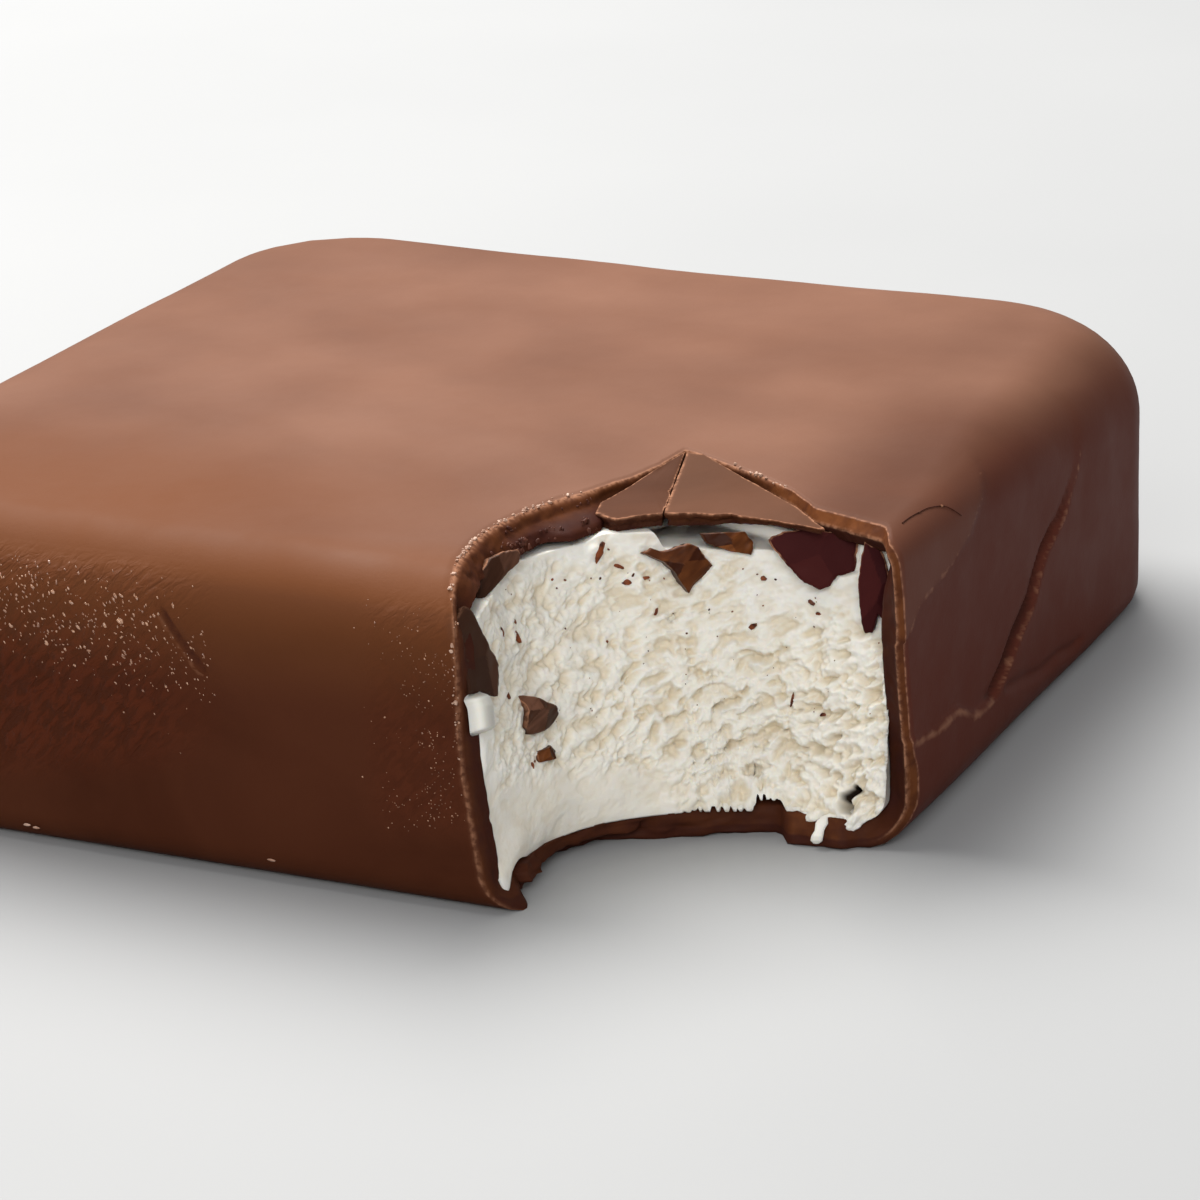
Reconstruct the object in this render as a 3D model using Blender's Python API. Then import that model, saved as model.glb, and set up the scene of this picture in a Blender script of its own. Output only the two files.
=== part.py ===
"""Square chocolate-coated ice cream bar with a bite taken out of one corner.

Metres, +Z up, origin at the middle of the base. The bar's front face looks along -Y, and the bite is at
its +X, -Y corner. A thin chocolate coating wraps a block of ice cream, and is open only at the bite. The
coating's roof broke where it was bitten: two flaps hang in the notch, and loose shards stick in the ice
cream. Plan angles round the bite are in degrees from +X, measured at the corner that the bite took away.
"""

import math

import bmesh
import bpy
import numpy as np

MM = 0.001

# The whole bar
SIDE = 76 * MM
HEIGHT = 21.6 * MM
PLAN_CORNER_RADIUS = 12.5 * MM
TOP_EDGE_RADIUS = 5.3 * MM
BASE_EDGE_RADIUS = 2 * MM
TOP_CROWN = 0.2 * MM
TOP_SAG = 0.6 * MM
SAG_CENTRE = (26 * MM, -14 * MM)
SAG_SPREAD = 13 * MM

# Coating and clearances
SHELL = 1.8 * MM
GAP = 0.3 * MM

# The bite
BITE_CENTRE = (SIDE / 2, -SIDE / 2)
BITE_ANGLES = (84.0, 190.0)
BITE_STEPS = 44
BITE_BEYOND = 30 * MM
FOOT_HEIGHT = 3.5 * MM
LIP_START = HEIGHT - SHELL - 3 * MM
LIP_END = HEIGHT - SHELL - 0.4 * MM

# Distance of each broken edge from the bite's centre, as (plan angle, distance)
WALL_EDGE = ((90, 19.3), (102, 19.6), (115, 21.4), (150, 22.0), (180, 22.0))
FOOT_LEDGE = ((90, 1.1), (102, 1.5), (114.4, 2.2), (117, 1.1), (131, 0.7), (148, 0.0), (153, 0.0), (161, 0.6),
              (168, 1.2), (180, 3.8))
LIP_CRACK = ((90, 16.8), (93, 17.6), (96, 20.3), (103, 22.3), (109, 24.2), (114, 28.6), (119.5, 33.2),
             (123.3, 36.6), (127, 34.0), (131, 32.2), (138, 30.4), (149, 28.7), (157, 27.1), (170, 23.9),
             (180, 22.0))
CREAM_FOOT = ((90, 18.4), (104, 18.3), (109, 18.6), (113, 19.6), (125, 20.1), (132, 21.0), (146, 22.1),
              (154, 22.3), (163.5, 21.6), (172, 20.6), (180, 20.4))
CREAM_TOP = ((90, 19.8), (100, 22.0), (109, 23.4), (119, 24.4), (131, 25.8), (138, 26.9), (145, 27.0),
             (155, 26.2), (161, 24.8), (171, 22.4), (180, 21.8))
CREAM_LEAN_POWER = 1.15
CREAM_RIPPLE = 0.25 * MM

# Broken roof flaps: corners (x, y, z) in millimetres, the crack between them running from apex to middle
FLAP_THICKNESS = 0.9 * MM
FLAP_APEX = (18.4, -9.3, 21.1)
FLAP_MIDDLE = (20.9, -17.8, 20.2)
FLAP_LEFT = (16.9, -18.9, 20.2)
FLAP_RIGHT = (30.4, -17.6, 20.1)
FLAP_RIGHT_FLANK = ((26.3, -14.2), (22.5, -11.4))
FLAP_LEFT_FLANK = ((17.2, -14.6),)
FLAP_LEFT_FRONT = ((18.4, -19.7),)
FLAP_RIGHT_FRONT = ((24.9, -16.8),)

# Shards: name, plan angle, height, lean, thickness, how proud, and the outline (across, up) in millimetres
SHARDS = (
    ("shard_wedge", 108.9, 17.7, 20, 1.4, 0.5,
     ((-2.9, 1.1), (-1.7, -0.5), (-0.6, -1.5), (0.3, -2.0), (1.1, -1.5), (1.5, -0.8), (2.6, 0.5), (2.7, 1.1))),
    ("shard_side", 99.3, 16.3, 12, 1.2, 0.6,
     ((-0.7, 2.2), (-0.7, 0.4), (-0.5, -1.1), (-0.1, -2.5), (0.3, -2.6), (0.8, -0.7), (0.7, 1.0), (0.2, 2.2))),
    ("shard_tip", 128.9, 17.0, 18, 1.3, 0.9,
     ((-2.6, 1.2), (-1.4, 0.4), (-0.7, -0.3), (0.15, -1.7), (1.3, -0.7), (1.8, -0.1), (1.2, 1.0), (0.3, 1.4))),
    ("shard_back", 121.9, 18.2, 20, 1.0, 0.4,
     ((-1.7, 0.4), (-0.8, -0.2), (1.2, -0.8), (1.5, -0.1), (1.2, 0.4))),
    ("shard_corner", 158.2, 18.5, 24, 1.0, 0.6,
     ((-2.7, -0.6), (-2.2, -1.1), (0.3, -0.1), (1.9, 0.6), (1.1, 0.8), (-0.8, 0.6), (-1.7, 0.2))),
    ("shard_wall", 171.2, 15.9, 8, 1.3, 0.2,
     ((-1.1, -2.0), (0.5, -2.8), (1.15, -0.9), (0.5, 0.7), (0.0, 2.0), (-0.6, 1.9), (-1.0, 0.9))),
    ("chip_large", 156.0, 9.7, 14, 1.6, 0.9,
     ((-1.8, 1.9), (-1.7, 0.6), (-1.9, -0.2), (-1.5, -0.8), (0.5, -0.8), (1.1, 0.0), (0.5, 0.7), (-0.6, 1.4))),
    ("chip_small", 155.3, 7.1, 14, 1.0, 0.6,
     ((-1.2, 0.5), (-1.2, -0.1), (0.1, -0.2), (0.3, 0.3), (-0.1, 0.7))),
)
SHARD_TAPER = 0.72
MITRE_LIMIT = 0.6

# Mesh steps
CORNER_STEPS = 10
SIDE_STEPS = 7
EDGE_STEPS = 6
TOP_INSETS = (0.25, 0.5, 0.75)

# Colours (linear) and roughness
COATING_FINISH = ((0.26, 0.135, 0.08), 0.42)
FLAP_FINISH = ((0.2, 0.095, 0.06), 0.4)
SHARD_FINISH = ((0.1, 0.04, 0.028), 0.45)
CREAM_FINISH = ((0.86, 0.83, 0.74), 0.6)


def clear_scene():
    """Remove every object that a new file holds."""
    for item in list(bpy.data.objects):
        bpy.data.objects.remove(item, do_unlink=True)


def finish(item, colour, roughness):
    """Give the object its own Principled material."""
    material = bpy.data.materials.new(item.name + "_finish")
    material.use_nodes = True
    shader = material.node_tree.nodes["Principled BSDF"]
    shader.inputs["Base Color"].default_value = (*colour, 1.0)
    shader.inputs["Roughness"].default_value = roughness
    item.data.materials.append(material)


def loft(name, rings):
    """Closed mesh object through rings of equal point count, with a flat cap at each end."""
    mesh = bmesh.new()
    rows = [[mesh.verts.new(point) for point in ring] for ring in rings]
    count = len(rows[0])
    for lower, upper in zip(rows, rows[1:]):
        for i in range(count):
            j = (i + 1) % count
            mesh.faces.new((lower[i], lower[j], upper[j], upper[i]))
    mesh.faces.new(rows[0][::-1])
    mesh.faces.new(rows[-1])
    bmesh.ops.recalc_face_normals(mesh, faces=mesh.faces)
    data = bpy.data.meshes.new(name)
    mesh.to_mesh(data)
    mesh.free()
    item = bpy.data.objects.new(name, data)
    bpy.context.collection.objects.link(item)
    return item


def as_cutter(item):
    """Show the object as a wire guide that is not part of the bar."""
    item.hide_render = True
    item.display_type = "WIRE"
    return item


def cut(item, cutter):
    """Subtract the cutter with a live Boolean."""
    boolean = item.modifiers.new("cut_" + cutter.name, "BOOLEAN")
    boolean.operation = "DIFFERENCE"
    boolean.solver = "EXACT"
    boolean.object = cutter


def smooth_step(value):
    """Ease from 0 to 1 as the value goes from 0 to 1."""
    t = np.clip(value, 0.0, 1.0)
    return t * t * (3.0 - 2.0 * t)


def rounded_square(half, radius):
    """Plan outline of a square with round corners, anticlockwise from the +X side."""
    points = []
    straight = half - radius
    for quarter in range(4):
        turn = quarter * math.pi / 2
        c, s = math.cos(turn), math.sin(turn)
        side = [(half, -straight + 2 * straight * k / SIDE_STEPS) for k in range(SIDE_STEPS)]
        arc = [(straight + radius * math.cos(a), straight + radius * math.sin(a))
               for a in np.linspace(0.0, math.pi / 2, CORNER_STEPS, endpoint=False)]
        points += [(x * c - y * s, x * s + y * c) for x, y in side + arc]
    return np.array(points)


def top_drop(x, y):
    """How far the top lies below its highest point: a slight crown and a sag beside the bite."""
    crown = TOP_CROWN * np.maximum(np.abs(x), np.abs(y)) ** 2 / (SIDE / 2) ** 2
    away = np.hypot(x - SAG_CENTRE[0], y - SAG_CENTRE[1])
    return crown + TOP_SAG * np.exp(-0.5 * (away / SAG_SPREAD) ** 2)


def block(name, depth):
    """Bar shape at the given depth under the coating's outer surface."""
    half = SIDE / 2 - depth
    plan_radius = PLAN_CORNER_RADIUS - depth
    top_radius = TOP_EDGE_RADIUS - depth
    base_radius = max(BASE_EDGE_RADIUS - depth, 0.4 * MM)
    low, high = depth, HEIGHT - depth

    def ring(inset, z, on_top):
        inset_radius = max(plan_radius - inset, 0.1 * plan_radius)
        plan = rounded_square(half - inset, inset_radius)
        drop = top_drop(plan[:, 0], plan[:, 1]) * on_top
        return np.column_stack((plan, z - drop))

    rings = []
    for a in np.linspace(0.0, math.pi / 2, EDGE_STEPS):
        rings.append(ring(base_radius * (1 - math.sin(a)), low + base_radius * (1 - math.cos(a)), 0.0))
    for a in np.linspace(0.0, math.pi / 2, EDGE_STEPS):
        inset = top_radius * (1 - math.cos(a))
        rings.append(ring(inset, high - top_radius * (1 - math.sin(a)), math.sin(a)))
    for share in TOP_INSETS:
        rings.append(ring(top_radius + share * (half - top_radius), high, 1.0))
    return loft(name, rings)


def edge_distance(table, angles):
    """Distance of a broken edge from the bite's centre, read between its corners."""
    known = np.array(table, dtype=float)
    return np.interp(angles, known[:, 0], known[:, 1]) * MM


def bite_ring(angles, distance, z):
    """One level of a bite cutter: the curved inner side, then two corners outside the bar."""
    cx, cy = BITE_CENTRE
    turn = np.radians(angles)
    x = cx + distance * np.cos(turn)
    y = cy + distance * np.sin(turn)
    curve = np.column_stack((x, y, np.full_like(x, z)))
    beyond = [(x[-1], cy - BITE_BEYOND, z), (cx + BITE_BEYOND, cy - BITE_BEYOND, z), (cx + BITE_BEYOND, y[0], z)]
    return np.vstack((curve, beyond))


def coating_distance(angles, z):
    """Broken edge of the coating: a ledge at the foot, plain walls, then the cracked lip of the roof."""
    ledge = edge_distance(FOOT_LEDGE, angles) * (1 - smooth_step(z / FOOT_HEIGHT))
    wall = edge_distance(WALL_EDGE, angles) - ledge
    lip = edge_distance(LIP_CRACK, angles)
    share = smooth_step((z - LIP_START) / (LIP_END - LIP_START))
    return wall + (lip - wall) * share


def cream_distance(angles, z):
    """Face of the ice cream: it leans back towards the top, with a slight ripple."""
    foot = edge_distance(CREAM_FOOT, angles)
    top = edge_distance(CREAM_TOP, angles)
    share = np.clip((z - SHELL) / (HEIGHT - 2 * SHELL), 0.0, 1.0) ** CREAM_LEAN_POWER
    ripple = np.sin(np.radians(angles) * 11 + z / (1.3 * MM)) * np.cos(z / (2.1 * MM))
    return foot + (top - foot) * share + CREAM_RIPPLE * ripple


def bite_angles():
    """Plan angles of the cutter's columns: even steps and every corner of the lip's crack."""
    even = np.linspace(*BITE_ANGLES, BITE_STEPS)
    corners = [angle for angle, _ in LIP_CRACK]
    return np.unique(np.round(np.concatenate((even, corners)), 2))


def bite_cutter(name, distance, levels):
    """Cutter whose inner side stands at distance(angles, z) from the bite's centre."""
    angles = bite_angles()
    return as_cutter(loft(name, [bite_ring(angles, distance(angles, z), z) for z in levels]))


def plane_height(a, b, c):
    """Function of (x, y) that gives the height of the plane through three points."""
    a, b, c = (np.array(point, dtype=float) for point in (a, b, c))
    normal = np.cross(b - a, c - a)
    return lambda x, y: a[2] - (normal[0] * (x - a[0]) + normal[1] * (y - a[1])) / normal[2]


def grown(outline, distance):
    """Move each side of an anticlockwise outline outwards by the distance, with mitres cut short if sharp."""
    points = np.array(outline, dtype=float)
    edges = np.roll(points, -1, axis=0) - points
    edges /= np.linalg.norm(edges, axis=1)[:, None]
    normals = np.column_stack((edges[:, 1], -edges[:, 0]))
    before = np.roll(normals, 1, axis=0)
    share = np.maximum(1.0 + np.sum(normals * before, axis=1), MITRE_LIMIT)
    return points + distance * (normals + before) / share[:, None]


def flap(name, corners, outline):
    """Thin plate of roof coating, its top in the plane through the three corners."""
    height = plane_height(*corners)
    thickness = FLAP_THICKNESS / MM

    def plate(label, grow, above, below):
        plan = grown(outline, grow)
        top = height(plan[:, 0], plan[:, 1])
        lower = np.column_stack((plan, top - thickness - below)) * MM
        upper = np.column_stack((plan, top + above)) * MM
        return loft(label, (lower, upper))

    piece = plate(name, 0.0, 0.0, 0.0)
    room = as_cutter(plate("room_" + name, GAP / MM, 3.0, GAP / MM))
    return piece, room


def make_flaps():
    """The two broken plates of roof that hang in the lip's notch, and the room each needs."""
    half_gap = 0.5 * GAP / MM
    apex, middle = np.array(FLAP_APEX[:2]), np.array(FLAP_MIDDLE[:2])
    left = [apex, *FLAP_LEFT_FLANK, FLAP_LEFT[:2], *FLAP_LEFT_FRONT, middle]
    right = [apex, middle, *FLAP_RIGHT_FRONT, FLAP_RIGHT[:2], *FLAP_RIGHT_FLANK]
    left_corners = (FLAP_APEX, FLAP_LEFT, FLAP_MIDDLE)
    right_corners = (FLAP_APEX, FLAP_MIDDLE, FLAP_RIGHT)
    return [flap("flap_left", left_corners, grown(left, -half_gap)),
            flap("flap_right", right_corners, grown(right, -half_gap))]


def shard(name, angle, height, lean, thickness, proud, outline):
    """Broken chip of coating stuck in the ice cream's face, and the pocket it sits in."""
    distance = cream_distance(np.array([angle]), height * MM)[0]
    turn = math.radians(angle)

    def chip(label, grow, front, back, taper):
        plan = grown(outline, grow)
        middle = plan.mean(axis=0)
        rings = []
        for depth, scale in ((-front, taper), (0.0, 1.0), (back, taper)):
            across = middle + (plan - middle) * scale
            rings.append(np.column_stack((across[:, 0], np.full(len(across), depth), across[:, 1])) * MM)
        item = loft(label, rings)
        item.location = (BITE_CENTRE[0] + distance * math.cos(turn),
                         BITE_CENTRE[1] + distance * math.sin(turn), height * MM)
        item.rotation_euler = (-math.radians(lean), 0.0, turn - math.pi / 2)
        return item

    piece = chip(name, 0.0, proud, thickness, SHARD_TAPER)
    clearance = GAP / MM
    room = as_cutter(chip("room_" + name, clearance, proud + 2.0, thickness + clearance, 1.0))
    return piece, room


def smooth(item, degrees):
    """Shade smooth, with edges sharper than the angle kept crisp."""
    item.data.shade_smooth()
    item.data.set_sharp_from_angle(angle=math.radians(degrees))


def make_coating():
    """Chocolate shell: the outer block less its inside, opened by the bite."""
    coating = block("coating", 0.0)
    inside = as_cutter(block("coating_inside", SHELL))
    levels = (-2 * MM, 0.0, 0.9 * MM, SHELL, 3 * MM, 6 * MM, 12 * MM, LIP_START, LIP_START + 1.3 * MM,
              LIP_END, HEIGHT + 2 * MM)
    bite = bite_cutter("coating_bite", coating_distance, levels)
    cut(coating, inside)
    cut(coating, bite)
    smooth(coating, 35)
    finish(coating, *COATING_FINISH)
    return coating


def make_cream():
    """Block of ice cream that fills the shell and shows at the bite."""
    cream = block("ice_cream", SHELL + GAP)
    levels = [-2 * MM, *np.linspace(SHELL, HEIGHT - SHELL, 15), HEIGHT + 2 * MM]
    bite = bite_cutter("cream_bite", cream_distance, levels)
    cut(cream, bite)
    smooth(cream, 35)
    finish(cream, *CREAM_FINISH)
    return cream


def main():
    """Build the bar."""
    clear_scene()
    make_coating()
    cream = make_cream()
    for piece, room in make_flaps():
        finish(piece, *FLAP_FINISH)
        cut(cream, room)
    for values in SHARDS:
        piece, room = shard(*values)
        finish(piece, *SHARD_FINISH)
        cut(cream, room)


main()
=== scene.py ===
"""Looks of a square chocolate-coated ice cream bar with a bite taken out of one corner.

The bar's skin is worked out like a sock pulled over a rounded block: the bite is the sock's mouth, and its
toe is the far corner of the bar. Every piece is a surface of two parameters on a grid, in metres, in the
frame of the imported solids.
"""

import logging
import math
from dataclasses import dataclass, field
from enum import Enum

import bmesh
import bpy
import numpy as np
from mathutils import Matrix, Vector
from numpy.typing import NDArray


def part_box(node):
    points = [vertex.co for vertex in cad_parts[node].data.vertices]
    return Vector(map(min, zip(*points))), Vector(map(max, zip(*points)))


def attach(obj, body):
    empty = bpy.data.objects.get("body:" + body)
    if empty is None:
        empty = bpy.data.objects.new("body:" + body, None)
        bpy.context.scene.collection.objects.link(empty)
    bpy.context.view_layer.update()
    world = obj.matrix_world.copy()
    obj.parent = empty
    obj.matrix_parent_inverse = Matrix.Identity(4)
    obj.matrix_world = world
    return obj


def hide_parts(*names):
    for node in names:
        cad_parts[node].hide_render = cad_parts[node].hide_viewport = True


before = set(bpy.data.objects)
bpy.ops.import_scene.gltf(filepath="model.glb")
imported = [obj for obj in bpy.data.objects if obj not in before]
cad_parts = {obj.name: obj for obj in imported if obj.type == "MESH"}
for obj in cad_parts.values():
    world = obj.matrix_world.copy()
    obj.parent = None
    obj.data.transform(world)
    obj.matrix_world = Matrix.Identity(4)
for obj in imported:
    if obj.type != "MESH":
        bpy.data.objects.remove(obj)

LOG = logging.getLogger("ice_cream_bar")
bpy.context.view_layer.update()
MM = 0.001
ROOT2 = math.sqrt(2.0)
QUARTER = math.pi / 2
DIAGONAL_ANGLE = 135.0
CHOCOLATE_MARKS = ("broken", "amber", "crest", "frost", "painted_highlight_line", "shaded_groove", "bloom", "painted_light", "painted_side_sheen")

Array = NDArray[np.float64]
Numbers = NDArray[np.int64]
Table = tuple[tuple[float, float], ...]


class Slot(Enum):
    """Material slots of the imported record."""

    MILK = "milk_chocolate"
    DARK = "dark_chocolate"
    CREAM = "vanilla_ice_cream"


def ease(value: Array | float) -> Array:
    """Smooth step 3v^2 - 2v^3 of the value, cut to 0 and 1 at the ends."""
    v = np.clip(value, 0.0, 1.0)
    return v * v * (3.0 - 2.0 * v)


def between(value: Array, low: float, high: float, soft: float) -> Array:
    """1 from low to high, easing to 0 over the soft width inside each end."""
    return ease((value - low) / soft) * ease((high - value) / soft)


def hump(value: Array | float, centre: float, spread: float) -> Array:
    """Bell curve exp(-(value - centre)^2 / (2 spread^2))."""
    return np.exp(-0.5 * ((value - centre) / spread) ** 2)


def tent(value: Array, centre: float, reach: float) -> Array:
    """1 at the centre, falling straight to 0 at the reach: a finish can sharpen it to a fine line."""
    return np.maximum(1 - np.abs(value - centre) / reach, 0.0)


def read(table: Table, at: Array) -> Array:
    """Read a table of (place, value) pairs between its entries.

    Args:
        table: Pairs with rising places.
        at: Places to read.

    Returns:
        The values, joined by straight lines.
    """
    known = np.array(table, dtype=float)
    return np.interp(at, known[:, 0], known[:, 1])


class Noise:
    """Seeded gradient noise and cell noise on points in space, worked out for whole arrays."""

    def __init__(self, seed: int) -> None:
        """Draw the lattice's order, gradients and jitter from the seed."""
        rng = np.random.default_rng(seed)
        self.order = rng.permutation(256)
        vectors = rng.normal(size=(256, 3))
        self.gradients = vectors / np.linalg.norm(vectors, axis=1)[:, None]
        self.jitter = rng.random((256, 3))

    def pick(self, cell: Numbers) -> Numbers:
        """Hash lattice cells (..., 3) to numbers 0 to 255."""
        first = self.order[cell[..., 0] & 255]
        second = self.order[(first + cell[..., 1]) & 255]
        return self.order[(second + cell[..., 2]) & 255]

    def smooth(self, points: Array, size: float) -> Array:
        """Gradient noise.

        Args:
            points: Array (..., 3) in metres.
            size: Width of a lattice cell in metres.

        Returns:
            For each point the blend of eight gradient ramps, about -0.7 to 0.7.
        """
        scaled = points / size
        cell = np.floor(scaled).astype(np.int64)
        part = scaled - cell
        fade = part**3 * (part * (part * 6 - 15) + 10)
        total = np.zeros(points.shape[:-1])
        for corner in np.ndindex(2, 2, 2):
            step = np.array(corner)
            ramp = np.sum(self.gradients[self.pick(cell + step)] * (part - step), axis=-1)
            share = np.prod(np.where(step == 1, fade, 1 - fade), axis=-1)
            total += share * ramp
        return total

    def layered(self, points: Array, size: float, octaves: int, gain: float = 0.5) -> Array:
        """Sum of smooth noise at halving sizes, each weaker by the gain."""
        total = np.zeros(points.shape[:-1])
        for octave in range(octaves):
            total += gain**octave * self.smooth(points + octave * 7.3 * size, size / 2**octave)
        return total

    def ridged(self, points: Array, size: float, octaves: int, gain: float = 0.5) -> Array:
        """Sharp crests: sum of 0.45 - 2.4|noise| at halving sizes, each weaker by the gain."""
        total = np.zeros(points.shape[:-1])
        for octave in range(octaves):
            total += gain**octave * (0.45 - 2.4 * np.abs(self.smooth(points + octave * 5.1 * size,
                                                                     size / 2**octave)))
        return total

    def cells(self, points: Array, size: float) -> tuple[Array, Array]:
        """Cell noise.

        Args:
            points: Array (..., 3) in metres.
            size: Mean width of a cell in metres.

        Returns:
            Distance to the nearest seed, and how much further the second one is, both in cell widths.
        """
        scaled = points / size
        cell = np.floor(scaled).astype(np.int64)
        part = scaled - cell
        nearest = np.full(points.shape[:-1], 9.0)
        second = np.full(points.shape[:-1], 9.0)
        for corner in np.ndindex(3, 3, 3):
            step = np.array(corner) - 1
            away = np.linalg.norm(step + self.jitter[self.pick(cell + step)] - part, axis=-1)
            second = np.minimum(second, np.maximum(nearest, away))
            nearest = np.minimum(nearest, away)
        return nearest, second - nearest


def grid_faces(rows: int, columns: int, closed: bool) -> Numbers:
    """Quads of a grid of points.

    Args:
        rows: Rows of the grid.
        columns: Points in a row.
        closed: Whether each row joins up with its own start.

    Returns:
        Array (faces, 4) of point numbers.
    """
    steps = columns if closed else columns - 1
    row, column = np.meshgrid(np.arange(rows - 1), np.arange(steps), indexing="ij")
    after = (column + 1) % columns
    return np.stack((row * columns + column, row * columns + after,
                     (row + 1) * columns + after, (row + 1) * columns + column), axis=-1).reshape(-1, 4)


def signed_volume(points: Array, faces: Numbers) -> float:
    """Volume that closed quads enclose, negative where they face inwards."""
    a, b, c, d = (points[faces[:, k]] for k in range(4))
    fans = np.einsum("ij,ij->i", a, np.cross(b, c)) + np.einsum("ij,ij->i", a, np.cross(c, d))
    return float(np.sum(fans)) / 6.0


def facing(points: Array, closed: bool) -> Array:
    """Unit normals of a grid of points.

    Args:
        points: Array (rows, columns, 3).
        closed: Whether the rows join up with their own start.

    Returns:
        Cross products of the steps along and across, all on one side of the grid.
    """
    down = np.gradient(points, axis=0)
    if closed:
        across = np.roll(points, -1, axis=1) - np.roll(points, 1, axis=1)
    else:
        across = np.gradient(points, axis=1)
    normal = np.cross(down, across)
    return normal / np.maximum(np.linalg.norm(normal, axis=-1), 1e-12)[..., None]


def path_distance(across: Array, up: Array, path: Table) -> tuple[Array, Array]:
    """Distance of flat points from a path of straight stretches.

    Args:
        across: First coordinate of the points.
        up: Second coordinate of the points.
        path: Corners of the path.

    Returns:
        The distance, positive on the path's right, and the share of the path passed at the nearest place.
    """
    corners = np.array(path, dtype=float)
    best = np.full(across.shape, 1e9)
    signed = np.zeros(across.shape)
    passed = np.zeros(across.shape)
    stretches = len(corners) - 1
    for k in range(stretches):
        start, step = corners[k], corners[k + 1] - corners[k]
        share = np.clip(((across - start[0]) * step[0] + (up - start[1]) * step[1]) / (step @ step), 0, 1)
        dx, dy = across - start[0] - share * step[0], up - start[1] - share * step[1]
        away = np.hypot(dx, dy)
        closer = away < best
        side = np.where(dx * step[1] - dy * step[0] > 0, 1.0, -1.0)
        signed = np.where(closer, away * side, signed)
        passed = np.where(closer, (k + share) / stretches, passed)
        best = np.minimum(best, away)
    return signed, passed


def even_outline(corners: Table, count: int) -> Array:
    """Walk round a closed outline in even steps.

    Args:
        corners: Corners of the outline, two or three numbers each.
        count: Points wanted.

    Returns:
        Array (count, 2 or 3), on straight lines between the corners.
    """
    known = np.array(corners + corners[:1], dtype=float)
    walked = np.concatenate(([0.0], np.cumsum(np.linalg.norm(np.diff(known[:, :2], axis=0), axis=1))))
    at = np.linspace(0.0, walked[-1], count, endpoint=False)
    return np.column_stack([np.interp(at, walked, known[:, k]) for k in range(known.shape[1])])


@dataclass
class Surface:
    """Points, quads and point attributes of a piece before it becomes a mesh."""

    points: Array
    faces: Numbers
    attributes: dict[str, Array] = field(default_factory=dict)

    @staticmethod
    def on_grid(points: Array, closed: bool, attributes: dict[str, Array]) -> "Surface":
        """A surface on a grid of points (rows, columns, 3); closed rows join up with their own start."""
        return Surface(points.reshape(-1, 3), grid_faces(*points.shape[:2], closed=closed), attributes)

    def joined(self, other: "Surface") -> "Surface":
        """This surface and another one as one, with this one's attributes."""
        shared = {key: np.concatenate((value, other.attributes[key]))
                  for key, value in self.attributes.items()}
        return Surface(np.vstack((self.points, other.points)),
                       np.vstack((self.faces, other.faces + len(self.points))), shared)

    def build(self, name: str, sharp_degrees: float, weld: float = 2e-6) -> bpy.types.Object:
        """Make the mesh object, facing outwards, with seams and poles welded.

        Args:
            name: Name of the piece.
            sharp_degrees: Edges that turn by more than this stay crisp.
            weld: Points closer than this, in metres, become one.

        Returns:
            The object, at the origin.
        """
        faces = self.faces if signed_volume(self.points, self.faces) > 0 else self.faces[:, ::-1]
        mesh = bpy.data.meshes.new(name)
        mesh.vertices.add(len(self.points))
        mesh.vertices.foreach_set("co", self.points.astype(np.float32).ravel())
        mesh.loops.add(faces.size)
        mesh.loops.foreach_set("vertex_index", faces.astype(np.int32).ravel())
        mesh.polygons.add(len(faces))
        mesh.polygons.foreach_set("loop_start", np.arange(0, faces.size, 4, dtype=np.int32))
        mesh.update(calc_edges=True)
        for key, value in self.attributes.items():
            attribute = mesh.attributes.new(key, "FLOAT", "POINT")
            attribute.data.foreach_set("value", value.astype(np.float32))
        work = bmesh.new()
        work.from_mesh(mesh)
        bmesh.ops.remove_doubles(work, verts=work.verts, dist=weld)
        bmesh.ops.dissolve_degenerate(work, dist=1e-7, edges=work.edges)
        work.to_mesh(mesh)
        work.free()
        mesh.validate()
        mesh.shade_smooth()
        mesh.set_sharp_from_angle(angle=math.radians(sharp_degrees))
        piece = bpy.data.objects.new(name, mesh)
        bpy.context.scene.collection.objects.link(piece)
        return piece


def chocolate_marks(count: int, **known: Array) -> dict[str, Array]:
    """Every point attribute that a chocolate finish reads.

    Args:
        count: Points of the piece.
        known: The attributes that aren't 0 everywhere.

    Returns:
        The attributes by name.
    """
    return {name: known.get(name, np.zeros(count)) for name in CHOCOLATE_MARKS}


def hand_over(piece: bpy.types.Object, finish: bpy.types.Material,
              nodes: tuple[str, ...] = ()) -> None:
    """Dress a piece, set it on the frame and report it.

    Args:
        piece: The finished mesh object.
        finish: Material to wear.
        nodes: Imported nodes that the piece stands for, if any.
    """
    piece.data.materials.append(finish)
    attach(piece, "root")
    if nodes:
        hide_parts(*nodes)
    LOG.info("%s: %d faces, %s", piece.name, len(piece.data.polygons), finish.name)


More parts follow.
